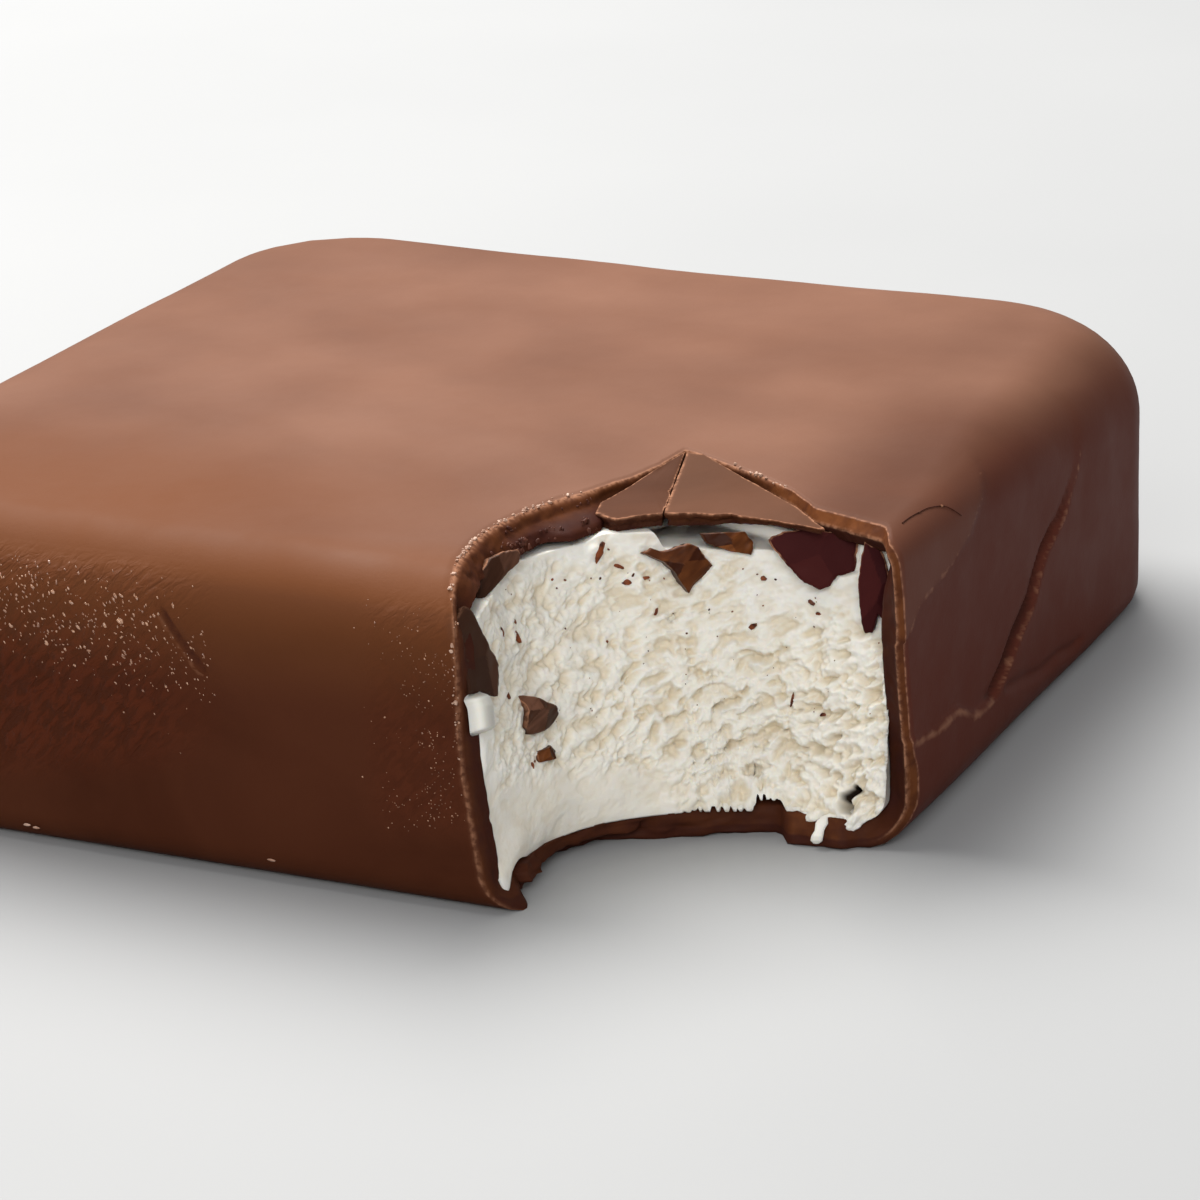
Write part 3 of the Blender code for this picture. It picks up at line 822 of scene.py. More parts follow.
@dataclass
class IceCream:
    """Block of ice cream: a crumbly bitten face, and plain sides that run back to the bar's far corner."""

    form: BarForm
    shards: tuple["Shard", ...]
    columns: int = 404
    rows: int = 208
    skirt_rows: int = 11
    foot: Table = ((90, 18.4), (102, 18.9), (112, 20.6), (120, 21.6), (150, 21.5), (168, 21.0), (180, 21.2))
    top: Table = ((90, 19.8), (100, 22.0), (109, 23.4), (119, 24.4), (126, 25.0), (131, 25.8), (138, 26.9),
                  (145, 27.0), (150, 26.6), (155, 26.2), (161, 24.8), (166, 23.5), (171, 22.4), (180, 21.8))
    bulge: Table = ((90, 0.0), (97, 0.2), (104, 0.8), (109, 1.4), (113, 1.2), (119.5, 1.8), (125, 1.4),
                    (132, 0.6), (139, 0.0), (146, -0.6), (159, -0.8), (163.5, -0.4), (167, 0.1), (172, 0.7),
                    (180, 1.4))
    bulge_height: float = 3.4 * MM
    lean_power: float = 1.15
    side_depth: float = 1.65 * MM
    smear_heights: tuple[float, float] = (11.45, 14.1)
    smear_depth: float = 0.5 * MM
    arc_radius: float = 24.0
    roof_gap: float = 0.2 * MM
    skirt_gap: float = 0.2 * MM
    skirt_shrink: float = 1.2 * MM
    skirt_tuck: float = 2.5 * MM
    skirt_reach: float = 0.93
    skirt_power: float = 2.6
    corner_radii: dict[str, float] = field(default_factory=lambda: {
        "top_front": 1.6 * MM, "top_right": 1.0 * MM, "base_front": 0.3 * MM, "base_right": 1.6 * MM,
        "roll": 0.6 * MM})

    def __post_init__(self) -> None:
        """Work out the face once, for the block and for what sticks in it."""
        self.smooth = self.face()
        height, self.masks = self.relief(self.smooth)
        normal = facing(self.smooth, closed=False)
        towards = np.array((self.form.corner_x, self.form.corner_y, self.form.height)) - self.smooth[100, 100]
        self.normal = normal * np.sign(normal[100, 100] @ towards)
        height = height * (0.3 + 0.7 * self.rim_share())
        for shard in self.shards:
            height = shard.seat(self, self.smooth, height)
        points = self.smooth + self.normal * height[..., None]
        smeared = self.smear(self.smooth[..., 2])
        depth = self.side_depth + (self.smear_depth - self.side_depth) * smeared
        points[..., 0] = np.minimum(points[..., 0], self.form.corner_x - self.side_depth)
        points[..., 1] = np.maximum(points[..., 1], self.form.corner_y + depth)
        self.points = points

    def distance(self, angle: Array, z: Array) -> Array:
        """Distance of the smooth face from the bitten corner: it leans back as a power of the height."""
        foot, top = read(self.foot, angle) * MM, read(self.top, angle) * MM
        low, high = self.form.shell, self.form.height - self.form.shell
        plain = foot + (top - foot) * np.clip((z - low) / (high - low), 0.0, 1.0) ** self.lean_power
        return plain - read(self.bulge, angle) * MM * (1 - ease((z - 1.0 * MM) / self.bulge_height))

    def smear(self, z: Array) -> Array:
        """1 at the heights where ice cream was smeared over the front wall's broken face."""
        low, high = self.smear_heights
        return ease((z / MM - low) / 1.1 + 0.5) * ease((high - z / MM) / 0.35 + 0.5)

    def lower_edge(self, angle: Array) -> Array:
        """Rise of the face's lower edge.

        It hangs over the foot at the right and runs down beside the front wall. Between them are frayed
        teeth, and a notch where the shell's block starts.
        """
        fray = Noise(53)
        line = np.stack((np.radians(angle) * 20 * MM, 0 * angle, 0 * angle), axis=-1)
        teeth = ease((fray.layered(line, 0.36 * MM, 2, 0.7) + 0.1) / 0.35) * between(angle, 114, 134, 5.0)
        crumbs = fray.layered(line + 5.0, 0.6 * MM, 2, 0.7) * between(angle, 98, 114, 2.0)
        notch = between(angle, 114.2, 120.8, 1.3)
        over = between(angle, 98.5, 114.0, 4.0)
        tongue = ease((angle - 171.5) / 3.5)
        nick = hump(angle, 168.5, 2.2)
        raised = 0.1 + 0.32 * teeth + 0.22 * crumbs + 0.6 * notch
        return (raised - 0.9 * over - 0.85 * tongue + 0.5 * nick) * MM

    def face(self) -> Array:
        """Smooth bitten face as a grid.

        Columns run from the front wall to the right wall by plan angle, and rows from base to top. Near a
        wall the height's ends follow quarter circles, so that the outline has rounded corners, and the face
        rolls back at the front wall except where it is smeared over it.
        """
        form, depth = self.form, self.side_depth
        a = np.linspace(0.0, 1.0, self.columns)[None, :]
        b = np.linspace(0.0, 1.0, self.rows)[:, None]
        z = form.shell + b * (form.height - 2 * form.shell) + 0 * a
        radius = np.full(z.shape, 22 * MM)
        for _ in range(7):
            smeared = self.smear(z)
            front_depth = depth + (self.smear_depth - depth) * smeared
            first = 180 - np.degrees(np.arcsin(front_depth / radius))
            last = 90 + np.degrees(np.arcsin(depth / radius))
            angle = first + (last - first) * a
            from_front = np.maximum(radius * np.radians(180 - angle) - depth, 0.0)
            from_right = radius * np.radians(angle - last)
            x = form.corner_x + radius * np.cos(np.radians(angle))
            y = form.corner_y + radius * np.sin(np.radians(angle))
            flap_dip = 1.0 * MM * ease((angle - 104) / 8) * ease((132.5 - angle) / 1.6)
            corner_dip = 1.1 * MM * between(angle, 160, 176, 3.0) + 0.4 * MM * between(angle, 139, 156, 4.0)
            high = form.height - depth - form.top_drop(x, y) - self.roof_gap - flap_dip - corner_dip
            high = high - self.corner(from_front, "top_front") - self.corner(from_right, "top_right")
            low = depth + self.corner(from_front, "base_front") + self.corner(from_right, "base_right")
            z = low + self.lower_edge(angle) + b * (high - low - self.lower_edge(angle))
            radius = self.distance(angle, z)
            around = between(z / MM, self.smear_heights[0] - 1.0, self.smear_heights[1] + 0.8, 1.6)
            radius = radius + (1 - around) * self.corner(from_front, "roll")
        return form.at(angle, radius, z)

    def corner(self, away: Array, which: str) -> Array:
        """Drop of a rounded corner: radius less the circle's height at the distance from the wall."""
        radius = self.corner_radii[which]
        reach = radius - np.clip(away, 0.0, radius)
        return radius - np.sqrt(radius**2 - reach**2)

    def relief(self, points: Array) -> tuple[Array, dict[str, Array]]:
        """Crumbly relief of the face.

        Broad swells, clumps with smooth tops and deep torn holes between them, ridges that rise to the right,
        rounded lumps, small beads, a strand and fine grain are added; they fade where the face has melted.

        Args:
            points: Smooth face, (rows, columns, 3).

        Returns:
            Height, and masks: painted warm shade in the hollows between the lumps and in the concave lower
                left,
            melted where it is smooth, and painted near-black shade in the deep slot where it is dark.
        """
        swell, torn, crumb = Noise(31), Noise(37), Noise(41)
        angle, z = self.form.angle(points), points[..., 2] / MM
        arc = np.radians(DIAGONAL_ANGLE - angle) * self.arc_radius
        flat = np.stack((arc, z, np.zeros_like(z)), axis=-1) * MM
        warp = np.stack((swell.smooth(flat, 2.4 * MM), torn.smooth(flat + 1.0, 2.4 * MM), 0 * z), axis=-1)
        warp = warp * 0.6 * MM
        slant = np.stack((arc * 0.55 + z * 0.24, z * 0.95 - arc * 0.36, np.zeros_like(z)), axis=-1) * MM
        wavy = swell.smooth(flat, 4 * MM)
        left_band = ease((-14.6 + 1.6 * wavy - arc) / 2.0 + 0.5)
        low_left = ease((7.4 - z - 0.2 * (arc + 10)) / 1.8 + 0.8 * wavy) * ease((3.0 - arc) / 4.0)
        top_band = 0.6 * ease((z - 17.0 + wavy) / 1.5)
        top_right = 0.75 * ease((z - 13.0 + 2.5 * wavy) / 2.0) * ease((arc - 4.0) / 4.0)
        melted = np.clip(np.max((left_band, low_left, top_band, top_right), axis=0), 0.0, 1.0)
        busy = 0.45 + 0.55 * ease((arc + 13.0) / 16.0) * ease((16.5 - z) / 8.0)
        clumps = torn.layered(slant + warp, 0.95 * MM, 3, 0.62)
        holes = np.maximum(0.04 - clumps, 0.0)
        ridges = np.maximum(crumb.ridged(slant * (1.0, 1.4, 1.0) + warp * 0.5, 1.0 * MM, 2), -0.2)
        lump_gap, lump_border = crumb.cells(slant + warp, 0.8 * MM)
        lumps = (1.0 - 0.9 * lump_gap) * ease(lump_border / 0.6 + 0.3)
        bead_gap, bead_border = torn.cells(flat * (0.85, 1.1, 1) + warp * 0.35, 0.42 * MM)
        beads = (1.0 - 0.9 * bead_gap) * ease(bead_border / 0.5 + 0.3)
        grain = swell.layered(flat, 0.3 * MM, 2)
        swirl = np.abs(np.hypot(arc + 8.6, (z - 14.6) * 0.9) - 1.7 + wavy)
        strand = hump(swirl, 0.0, 0.16) * ease((z - 13.6) / 1.0)
        soft = 0.45 + 0.55 * ease((arc + 9.0) / 9.0)
        domes = np.minimum(clumps, 0.22)
        rough = (busy * (0.62 * domes - 0.85 * holes + soft * (0.22 * ridges + 0.24 * lumps))
                 + (0.06 + 0.08 * soft) * beads + 0.06 * grain - 0.1)
        chunky = busy * ease((arc - 2.0) / 6.0) * ease((9.0 - z) / 5.0)
        height = 0.55 * swell.layered(flat, 4.5 * MM, 2) + 0.5 * chunky * torn.smooth(slant, 1.9 * MM)
        rough = rough * (1 - 0.8 * melted) * (1 - 0.5 * low_left)
        height = height * (1 - 0.4 * low_left) + rough + 0.12 * strand
        turned = (arc - 13.7) * 0.85 + (z - 3.3) * 0.53
        crosswise = (z - 3.3) * 0.85 - (arc - 13.7) * 0.53 - 0.12 * turned**2
        slot = ease((0.95 - np.abs(turned)) / 0.4) * hump(crosswise, 0.0, 0.17)
        beside = hump(arc, 13.3, 0.42) * hump(z, 2.5, 0.28)
        height = height - 2.0 * slot - 0.7 * beside
        # painted shade: warm in the holes, less on domes and ridges, and in the concave lower left
        hollow_shade = np.clip(0.36 + 1.3 * holes - 0.9 * domes - 0.4 * ridges, 0.0, 1.0)
        hollow_shade = hollow_shade * (1 - 0.7 * melted) + 0.3 * low_left
        # painted shade: the deep slot and the hole beside it painted near black
        pit_shade = np.clip(1.6 * slot + 0.5 * beside, 0, 1)
        return height * MM, {"hollow_shade": hollow_shade, "melted": melted, "pit_shade": pit_shade}

    def surface(self) -> Surface:
        """Points, faces and masks of the closed block."""
        front = Surface.on_grid(self.points, closed=False,
                                attributes={key: mask.ravel() for key, mask in self.masks.items()})
        return front.joined(self.skirt(front.points[self.rim_numbers()]))

    def rim_share(self) -> Array:
        """0 on the face's rim, rising to 1 a few steps inside it."""
        a = np.arange(self.columns)[None, :]
        b = np.arange(self.rows)[:, None]
        inside = np.minimum(np.minimum(a, self.columns - 1 - a), np.minimum(b, self.rows - 1 - b))
        return ease(inside / 8.0)

    def rim_numbers(self) -> Numbers:
        """Point numbers once round the face's rim."""
        number = np.arange(self.rows * self.columns).reshape(self.rows, self.columns)
        return np.concatenate((number[0, :-1], number[:-1, -1], number[-1, :0:-1], number[:0:-1, 0]))

    def skirt(self, rim: Array) -> Surface:
        """Plain sides: each rim point runs back along the bar's diagonal, and the far end closes to a point.

        The place across keeps its share of the half width, so the sides follow the block's plan. They shrink
        behind the rim, in plan and in height, so that nothing comes through the shell's rounded edges.
        """
        form = self.form
        far = self.skirt_reach * (form.side - 2 * self.side_depth) * ROOT2
        tuck = self.side_depth + self.skirt_tuck
        t = ((form.corner_x - rim[:, 0]) + (rim[:, 1] - form.corner_y)) / ROOT2
        s = ((rim[:, 0] - form.corner_x) + (rim[:, 1] - form.corner_y)) / ROOT2
        depth = self.side_depth + self.skirt_gap
        share = np.clip(s / form.half_width(t, np.full(t.shape, depth)), -1.0, 1.0)
        rise = (rim[:, 2] - rim[:, 2].min()) / np.ptp(rim[:, 2])
        lowest = self.side_depth + 0.35 * MM
        held = np.clip(rim[:, 2], lowest, form.height - lowest)
        held = held + 0.12 * (rim[:, 2] - held)
        rows = [rim]
        for step in np.linspace(0.0, 1.0, self.skirt_rows)[1:] ** self.skirt_power:
            along = t + (far - t) * step
            shrink = ease(step * 5)
            across = share * form.half_width(along, np.full(along.shape, depth + self.skirt_shrink * shrink))
            z = held + (tuck + rise * (form.height - 2 * tuck) - held) * shrink
            x = form.corner_x + (across - along) / ROOT2
            y = form.corner_y + (across + along) / ROOT2
            rows.append(np.column_stack((x, y, z)))
        rows.append(np.tile(rows[-1].mean(axis=0), (len(rim), 1)))
        points = np.stack(rows)
        flat = np.zeros(points.shape[0] * points.shape[1])
        sides = Surface.on_grid(points, closed=True, attributes={key: flat for key in self.masks})
        return Surface(sides.points, sides.faces[:, ::-1], sides.attributes)

    def spots(self, angle: Array, z: Array) -> tuple[Array, Array]:
        """Points and normals of the rough face nearest to plan angles and heights."""
        away_angle = self.form.angle(self.smooth).ravel()[None, :] - angle[:, None]
        away_angle = away_angle * math.radians(self.arc_radius)
        away_z = (self.smooth[..., 2].ravel()[None, :] - z[:, None]) / MM
        nearest = np.argmin(away_angle**2 + away_z**2, axis=1)
        return self.points.reshape(-1, 3)[nearest], self.normal.reshape(-1, 3)[nearest]

    def build(self, finish: bpy.types.Material) -> None:
        """Make the block and set it on the frame."""
        hand_over(self.surface().build("cream_block", sharp_degrees=180), finish, ("ice_cream",))


@dataclass(frozen=True)
class Flap:
    """Broken plate of the shell's roof that hangs in the notch of the lip.

    corners are (x, y, z) in millimetres, anticlockwise from above; front is the part of the outline whose
    edge is crumbly, as shares of the way round; taper is how much of the thickness is lost at the right.
    """

    node: str
    corners: tuple[tuple[float, float, float], ...]
    front: tuple[float, float]
    amber: float
    seed: int
    # dusty mixes the plate towards the painted sheen colour, painting it paler as lit
    dusty: float = 0.0
    taper: float = 0.0
    thickness: float = 0.88
    points: int = 300

    def surface(self) -> Surface:
        """Points, faces and marks of the closed plate.

        Rings shrink the outline towards its middle on the top and the underside; between them the broken edge
        goes down in steps with noise and a slight undercut.
        """
        noise = Noise(self.seed)
        rim = even_outline(self.corners, self.points)
        centre = rim.mean(axis=0)
        walked = np.arange(self.points) / self.points
        crumbly = between(walked, self.front[0], self.front[1], 0.04)
        outward = rim[:, :2] - centre[:2]
        outward = outward / np.linalg.norm(outward, axis=1)[:, None]
        ragged = noise.layered(rim, 0.9, 3, 0.6) * (0.05 + 0.3 * crumbly)
        rim = rim + np.column_stack((outward * ragged[:, None], 0 * ragged))
        deep = self.thickness * (1 - self.taper * ease((rim[:, 0] - 22.0) / 7.0))
        rows, broken, crest, amber = [], [], [], []

        def add(ring: Array, is_broken: float, on_crest: float, glow: float) -> None:
            rows.append(ring)
            broken.append(np.full(self.points, is_broken))
            crest.append(np.full(self.points, on_crest))
            amber.append(np.full(self.points, glow) * (0.4 + 0.6 * crumbly))

        slopes = np.linalg.lstsq(np.column_stack((rim[:, :2], np.ones(self.points))), rim[:, 2],
                                 rcond=None)[0]
        for share in (0.0, 0.2, 0.4, 0.58, 0.72, 0.83, 0.91, 0.96, 0.985):
            ring = centre + (rim - centre) * share
            flat = ring[:, :2] @ slopes[:2] + slopes[2]
            uneven = 0.04 * noise.smooth(ring, 2.5)
            ring[:, 2] = flat + (rim[:, 2] - flat) * share**9 + 0.05 * (1 - share) + uneven
            # painted highlight on the top's rim
            add(ring, 0.0, float(ease((share - 0.955) / 0.03)) * 0.6, 0.0)
        for step in np.linspace(0.0, 1.0, 12):
            torn = noise.layered(rim + np.array((0, 0, 3.0 * step)), 0.55, 3, 0.6)
            torn = torn * 0.2 * math.sin(math.pi * step)
            back = 0.05 - 0.22 * step + 0.1 * math.sin(7.0 * step) + torn * crumbly
            ring = rim + np.column_stack((outward * back[:, None], -step * deep))
            # amber only on the edge's upper part: painted light from above, over the break's own orange
            add(ring, 1.0, float(hump(step, 0.0, 0.06)), self.amber * float(1 - ease((step - 0.55) / 0.4)))
        for share in (0.9, 0.5, 0.0):
            ring = centre + (rim - centre) * share
            ring[:, 2] -= deep * share + self.thickness * (1 - share)
            add(ring, 1.0, 0.0, 0.0)
        count = len(rows) * self.points
        return Surface.on_grid(np.stack(rows) * MM, closed=True, attributes=chocolate_marks(
            count, broken=np.concatenate(broken), crest=np.concatenate(crest), amber=np.concatenate(amber),
            bloom=np.full(count, self.dusty)))

    def build(self, finish: bpy.types.Material) -> None:
        """Make the plate and set it on the frame."""
        piece = self.surface().build(self.node + "_plate", sharp_degrees=50)
        hand_over(piece, finish, (self.node,))


class Tone(Enum):
    """Look of a piece's chocolate."""

    MILK = "milk"
    PLATE = "plate"
    DARK = "dark"
    AMBER = "amber"
    BROWN = "brown"


@dataclass(frozen=True)
class Shard:
    """Broken bit of shell stuck in the ice cream: an outline with a faceted front.

    The outline is (across, up) in millimetres, anticlockwise, at a plan angle and height on the ice cream's
    face, leaning back by lean degrees. proud is how far its rim stands out and depth_of_facets how much
    further its middle does; crest is the strength of the painted highlight on its pale upper edge, glow that
    of its facets' painted shades, and grooves is the height of its streaks.
    """

    node: str
    tone: Tone
    angle: float
    height: float
    lean: float
    thickness: float
    proud: float
    outline: Table
    facets: int
    depth_of_facets: float
    seed: int
    crest: float = 0.5
    glow: float = 1.0
    grooves: float = 0.0
    points: int = 132

    def axes(self) -> tuple[Array, Array, Array]:
        """Unit vectors across, inwards and up of the shard's own frame."""
        turn, lean = math.radians(self.angle), math.radians(self.lean)
        across = np.array((math.sin(turn), -math.cos(turn), 0.0))
        level = np.array((math.cos(turn), math.sin(turn), 0.0))
        upright = np.array((0.0, 0.0, 1.0))
        return (across, math.cos(lean) * level - math.sin(lean) * upright,
                math.cos(lean) * upright + math.sin(lean) * level)

    def origin(self, cream: IceCream) -> Array:
        """Place on the ice cream's smooth face where the shard's frame sits."""
        angle, z = np.array([self.angle]), np.array([self.height * MM])
        return cream.form.at(angle, cream.distance(angle, z), z)[0]

    def seat(self, cream: IceCream, points: Array, height: Array) -> Array:
        """Keep the ice cream's relief behind the shard's front inside its outline.

        Args:
            cream: The ice cream.
            points: Smooth face.
            height: Relief of the face.

        Returns:
            The relief, lowered under the shard, easing back just outside the outline.
        """
        across, inward, up = self.axes()
        local = points - self.origin(cream)
        x, y, depth = (local @ axis / MM for axis in (across, up, inward))
        away = np.abs(path_distance(x, y, self.outline + self.outline[:1])[0])
        inside = np.zeros(x.shape, dtype=bool)
        for (x0, y0), (x1, y1) in zip(self.outline, self.outline[1:] + self.outline[:1]):
            crossing = (y0 > y) != (y1 > y)
            inside ^= crossing & (x < (x1 - x0) * (y - y0) / (y1 - y0 + 1e-12) + x0)
        near = ease((0.2 - np.where(inside, -away, away)) / 0.2) * (np.abs(depth) < 6.0)
        limit = (depth + self.proud - 0.2) * MM
        return height - near * np.maximum(height - limit, 0.0)

    def facet_height(self, plan: Array, rng: np.random.Generator) -> tuple[Array, Array]:
        """Lowest of several slanted planes: flat facets that meet in ridges, each with its own painted shade,
        a random brightness standing in for the light that the facet catches.
        """
        middle = plan.reshape(-1, 2).mean(axis=0)
        spread = float(np.abs(plan.reshape(-1, 2) - middle).max())
        best = np.full(plan.shape[:-1], 9.0)
        shade = np.zeros(plan.shape[:-1])
        for k in range(self.facets):
            turn = 2 * math.pi * (k + rng.uniform(-0.3, 0.3)) / self.facets
            slope = rng.uniform(0.5, 1.2) * self.depth_of_facets / spread
            ramp = (plan[..., 0] - middle[0]) * math.cos(turn) + (plan[..., 1] - middle[1]) * math.sin(turn)
            plane = self.depth_of_facets * rng.uniform(0.55, 1.0) - slope * ramp
            shade = np.where(plane < best, rng.uniform(0.0, 1.0), shade)
            best = np.minimum(best, plane)
        return best, shade

    def surface(self, cream: IceCream) -> Surface:
        """Points, faces and marks of the closed shard.

        Args:
            cream: Ice cream whose face carries the shard.

        Returns:
            Rings from the front's middle to the outline, over the broken side, and back to a point inside.
        """
        noise, rng = Noise(self.seed), np.random.default_rng(self.seed)
        rim = even_outline(self.outline, self.points)
        flat = np.column_stack((rim, 0 * rim[:, 0]))
        centre = rim.mean(axis=0)
        rim = rim + (rim - centre) * (0.07 * noise.layered(flat, 0.5, 2))[:, None]
        shares = np.array((0.0, 0.08, 0.16, 0.25, 0.34, 0.43, 0.52, 0.6, 0.68, 0.76, 0.83, 0.89, 0.94,
                           0.97, 1.0))
        plan = centre + (rim - centre) * shares[:, None, None]
        lifted, shade = self.facet_height(plan, rng)
        spatial = np.concatenate((plan, np.zeros((*plan.shape[:2], 1))), axis=-1)
        ripple = 0.05 * np.sin(9 * lifted / max(self.depth_of_facets, 0.1) + 3 * noise.smooth(spatial, 1.2))
        grain = np.stack((0.7 * plan @ np.array((0.83, 0.56)), 2.4 * plan @ np.array((-0.56, 0.83)),
                          0 * shade), axis=-1)
        streaks = 3 * noise.layered(grain, 1.0, 2)
        ripple = ripple + self.grooves * streaks
        # streaks, grain of the break, also lighten and darken the facets' painted shades
        shade = np.clip(shade + 4.0 * self.grooves * streaks, 0.0, 1.0)
        front = -self.proud - np.maximum(lifted + ripple * shares[:, None], -self.proud * 0.6)
        front = front + 0.1 * ease((shares - 0.9) / 0.1)[:, None]
        layers = [(plan[k], front[k], 0.0 if shares[k] < 0.97 else self.crest) for k in range(len(shares))]
        # the broken sides get a third of the rim's painted shade, so they are painted darker
        shades = [shade[k] for k in range(len(shares))] + [0.3 * shade[-1]] * 5
        for step in (0.25, 0.5, 0.75, 1.0):
            torn = 1 + 0.08 * noise.layered(spatial[-1] + step * 2.0, 0.4, 2)[:, None]
            ring = centre + (rim - centre) * torn * (1 - 0.1 * step)
            layers.append((ring, front[-1] * (1 - step) + self.thickness * step, 0.0))
        layers.append((np.tile(centre, (self.points, 1)), np.full(self.points, self.thickness), 0.0))
        across, inward, up = self.axes()
        origin = self.origin(cream)
        points = np.stack([origin + MM * (ring[:, :1] * across + deep[:, None] * inward + ring[:, 1:] * up)
                           for ring, deep, _ in layers])
        crest = np.repeat([mark for _, _, mark in layers], self.points)
        # painted highlight on the rim's crest, kept to its upper part where light falls from above
        crest = crest * ease((points[..., 2].ravel() / MM - self.height) / 0.8 + 0.4)
        return Surface.on_grid(points, closed=True, attributes=chocolate_marks(
            len(crest), crest=crest, bloom=self.glow * np.concatenate(shades) ** 2))

    def build(self, cream: IceCream, finishes: dict[Tone, bpy.types.Material]) -> None:
        """Make the shard and set it on the frame."""
        piece = self.surface(cream).build(self.node + "_piece", sharp_degrees=14)
        hand_over(piece, finishes[self.tone], (self.node,))


@dataclass(frozen=True)
class Scatter:
    """Many small pebbles joined into one piece."""

    name: str
    slot: Slot

    @staticmethod
    def pebble() -> Surface:
        """Rounded cube of 24 quads: each face of a cube is a 2 by 2 grid, pushed out to a ball."""
        steps = np.array((-1.0, 0.0, 1.0))
        u, v = np.meshgrid(steps, steps, indexing="ij")
        sides = []
        for axis, sign in ((0, 1), (0, -1), (1, 1), (1, -1), (2, 1), (2, -1)):
            order = (u, v) if sign > 0 else (v, u)
            parts = [order[0], order[1]]
            parts.insert(axis, np.full(u.shape, float(sign)))
            if axis == 1:
                parts = [order[1], np.full(u.shape, float(sign)), order[0]]
            sides.append(np.stack(parts, axis=-1).reshape(-1, 3))
        points = np.concatenate(sides)
        faces = np.concatenate([grid_faces(3, 3, closed=False) + 9 * k for k in range(6)])
        unique, number = np.unique(points, axis=0, return_inverse=True)
        unit = unique / np.linalg.norm(unique, axis=1)[:, None]
        return Surface(unit, number.ravel()[faces])

    @staticmethod
    def surface(places: Array, normals: Array, sizes: Array, turns: Array, seed: int) -> Surface:
        """Copies of the pebble, stretched, turned and set on a surface.

        Args:
            places: Middle of each copy, (count, 3).
            normals: Outward direction at each place.
            sizes: Half length, half width and half height of each copy, (count, 3).
            turns: Turn of each copy about its normal, in radians.
            seed: Seed for the uneven shapes.

        Returns:
            The joined copies.
        """
        rng = np.random.default_rng(seed)
        unit = Scatter.pebble()
        count, many = len(places), len(unit.points)
        level = np.cross(np.array((0.0, 0.0, 1.0)), normals) + np.array((1e-6, 0.0, 0.0))
        level = level / np.linalg.norm(level, axis=1)[:, None]
        upright = np.cross(normals, level)
        along = np.cos(turns)[:, None] * level + np.sin(turns)[:, None] * upright
        across = np.cross(normals, along)
        basis = np.stack((along, across, normals), axis=1) * sizes[:, :, None]
        uneven = unit.points[None] * (1 + rng.uniform(-0.22, 0.22, (count, many, 1)))
        points = places[:, None, :] + np.einsum("cmk,ckj->cmj", uneven, basis)
        faces = unit.faces[None] + many * np.arange(count)[:, None, None]
        return Surface(points.reshape(-1, 3), faces.reshape(-1, 4))

    def build(self, surface: Surface, finish: bpy.types.Material, sharp_degrees: float) -> None:
        """Make the joined piece and set it on the frame."""
        hand_over(surface.build(self.name, sharp_degrees, weld=1e-9), finish)


@dataclass(frozen=True)
class Slivers:
    """Loose bits of chocolate on the bitten face: ones in set places and finer dust.

    Places are (plan angle, height); sizes are half length and half width, in millimetres, and a turn in
    degrees.
    """

    cream: IceCream
    large: Table = ((140.2, 18.2), (137.5, 17.2), (136.8, 16.3), (134.2, 16.4), (157.8, 15.9), (157.7, 15.0),
                    (162.7, 16.0), (133.3, 14.3), (118.8, 13.2), (109.5, 14.9), (108.7, 14.3), (112.8, 8.6),
                    (108.2, 7.9), (163.8, 12.2), (159.8, 7.1), (136.0, 16.6), (117.0, 16.2), (158.6, 7.2))
    sizes: tuple[tuple[float, float, float], ...] = (
        (0.72, 0.2, 62), (0.36, 0.11, -25), (0.28, 0.22, 10), (0.26, 0.1, 4), (0.26, 0.09, -62),
        (0.5, 0.17, -68), (0.3, 0.08, -75), (0.34, 0.1, 70), (0.28, 0.16, 40), (0.24, 0.14, -30),
        (0.16, 0.1, 0), (0.42, 0.08, 82), (0.3, 0.1, 12), (0.28, 0.12, -70), (0.22, 0.08, 85),
        (0.2, 0.08, 60), (0.17, 0.14, 0), (0.1, 0.08, 0))
    small: Table = ((148.1, 17.3), (146.0, 17.0), (141.8, 16.8), (140.7, 16.7), (131.6, 16.3), (122.0, 14.1),
                    (125.6, 14.3), (117.3, 14.5), (129.1, 12.9), (147.4, 14.2), (117.9, 16.5), (115.2, 16.2),
                    (138.8, 18.3), (147.5, 16.7), (97.8, 13.1), (141.3, 12.8))
    dust: int = 46

    def build(self, finish: bpy.types.Material) -> None:
        """Make the slivers and set them on the frame."""
        rng = np.random.default_rng(71)
        large, small = np.array(self.large), np.array(self.small)
        dusty = np.column_stack((rng.uniform(96, 160, self.dust), rng.uniform(8.0, 18.4, self.dust)))
        spots = np.concatenate((large, small, dusty))
        places, normals = self.cream.spots(spots[:, 0], spots[:, 1] * MM)
        shape = np.array(self.sizes)
        half = np.column_stack((shape[:, 0], shape[:, 1], np.minimum(shape[:, 1], 0.14))) * 1.2 * MM
        tiny = rng.uniform(0.06, 0.1, (len(small), 1)) * np.array((1.2, 0.9, 0.8)) * MM
        fine = rng.uniform(0.025, 0.055, (self.dust, 1)) * np.array((1.3, 0.9, 0.8)) * MM
        turns = np.concatenate((np.radians(shape[:, 2]), rng.uniform(0, math.pi, len(small) + self.dust)))
        surface = Scatter.surface(places, normals, np.concatenate((half, tiny, fine)), turns, 72)
        Scatter("chocolate_slivers", Slot.DARK).build(surface, finish, sharp_degrees=35)


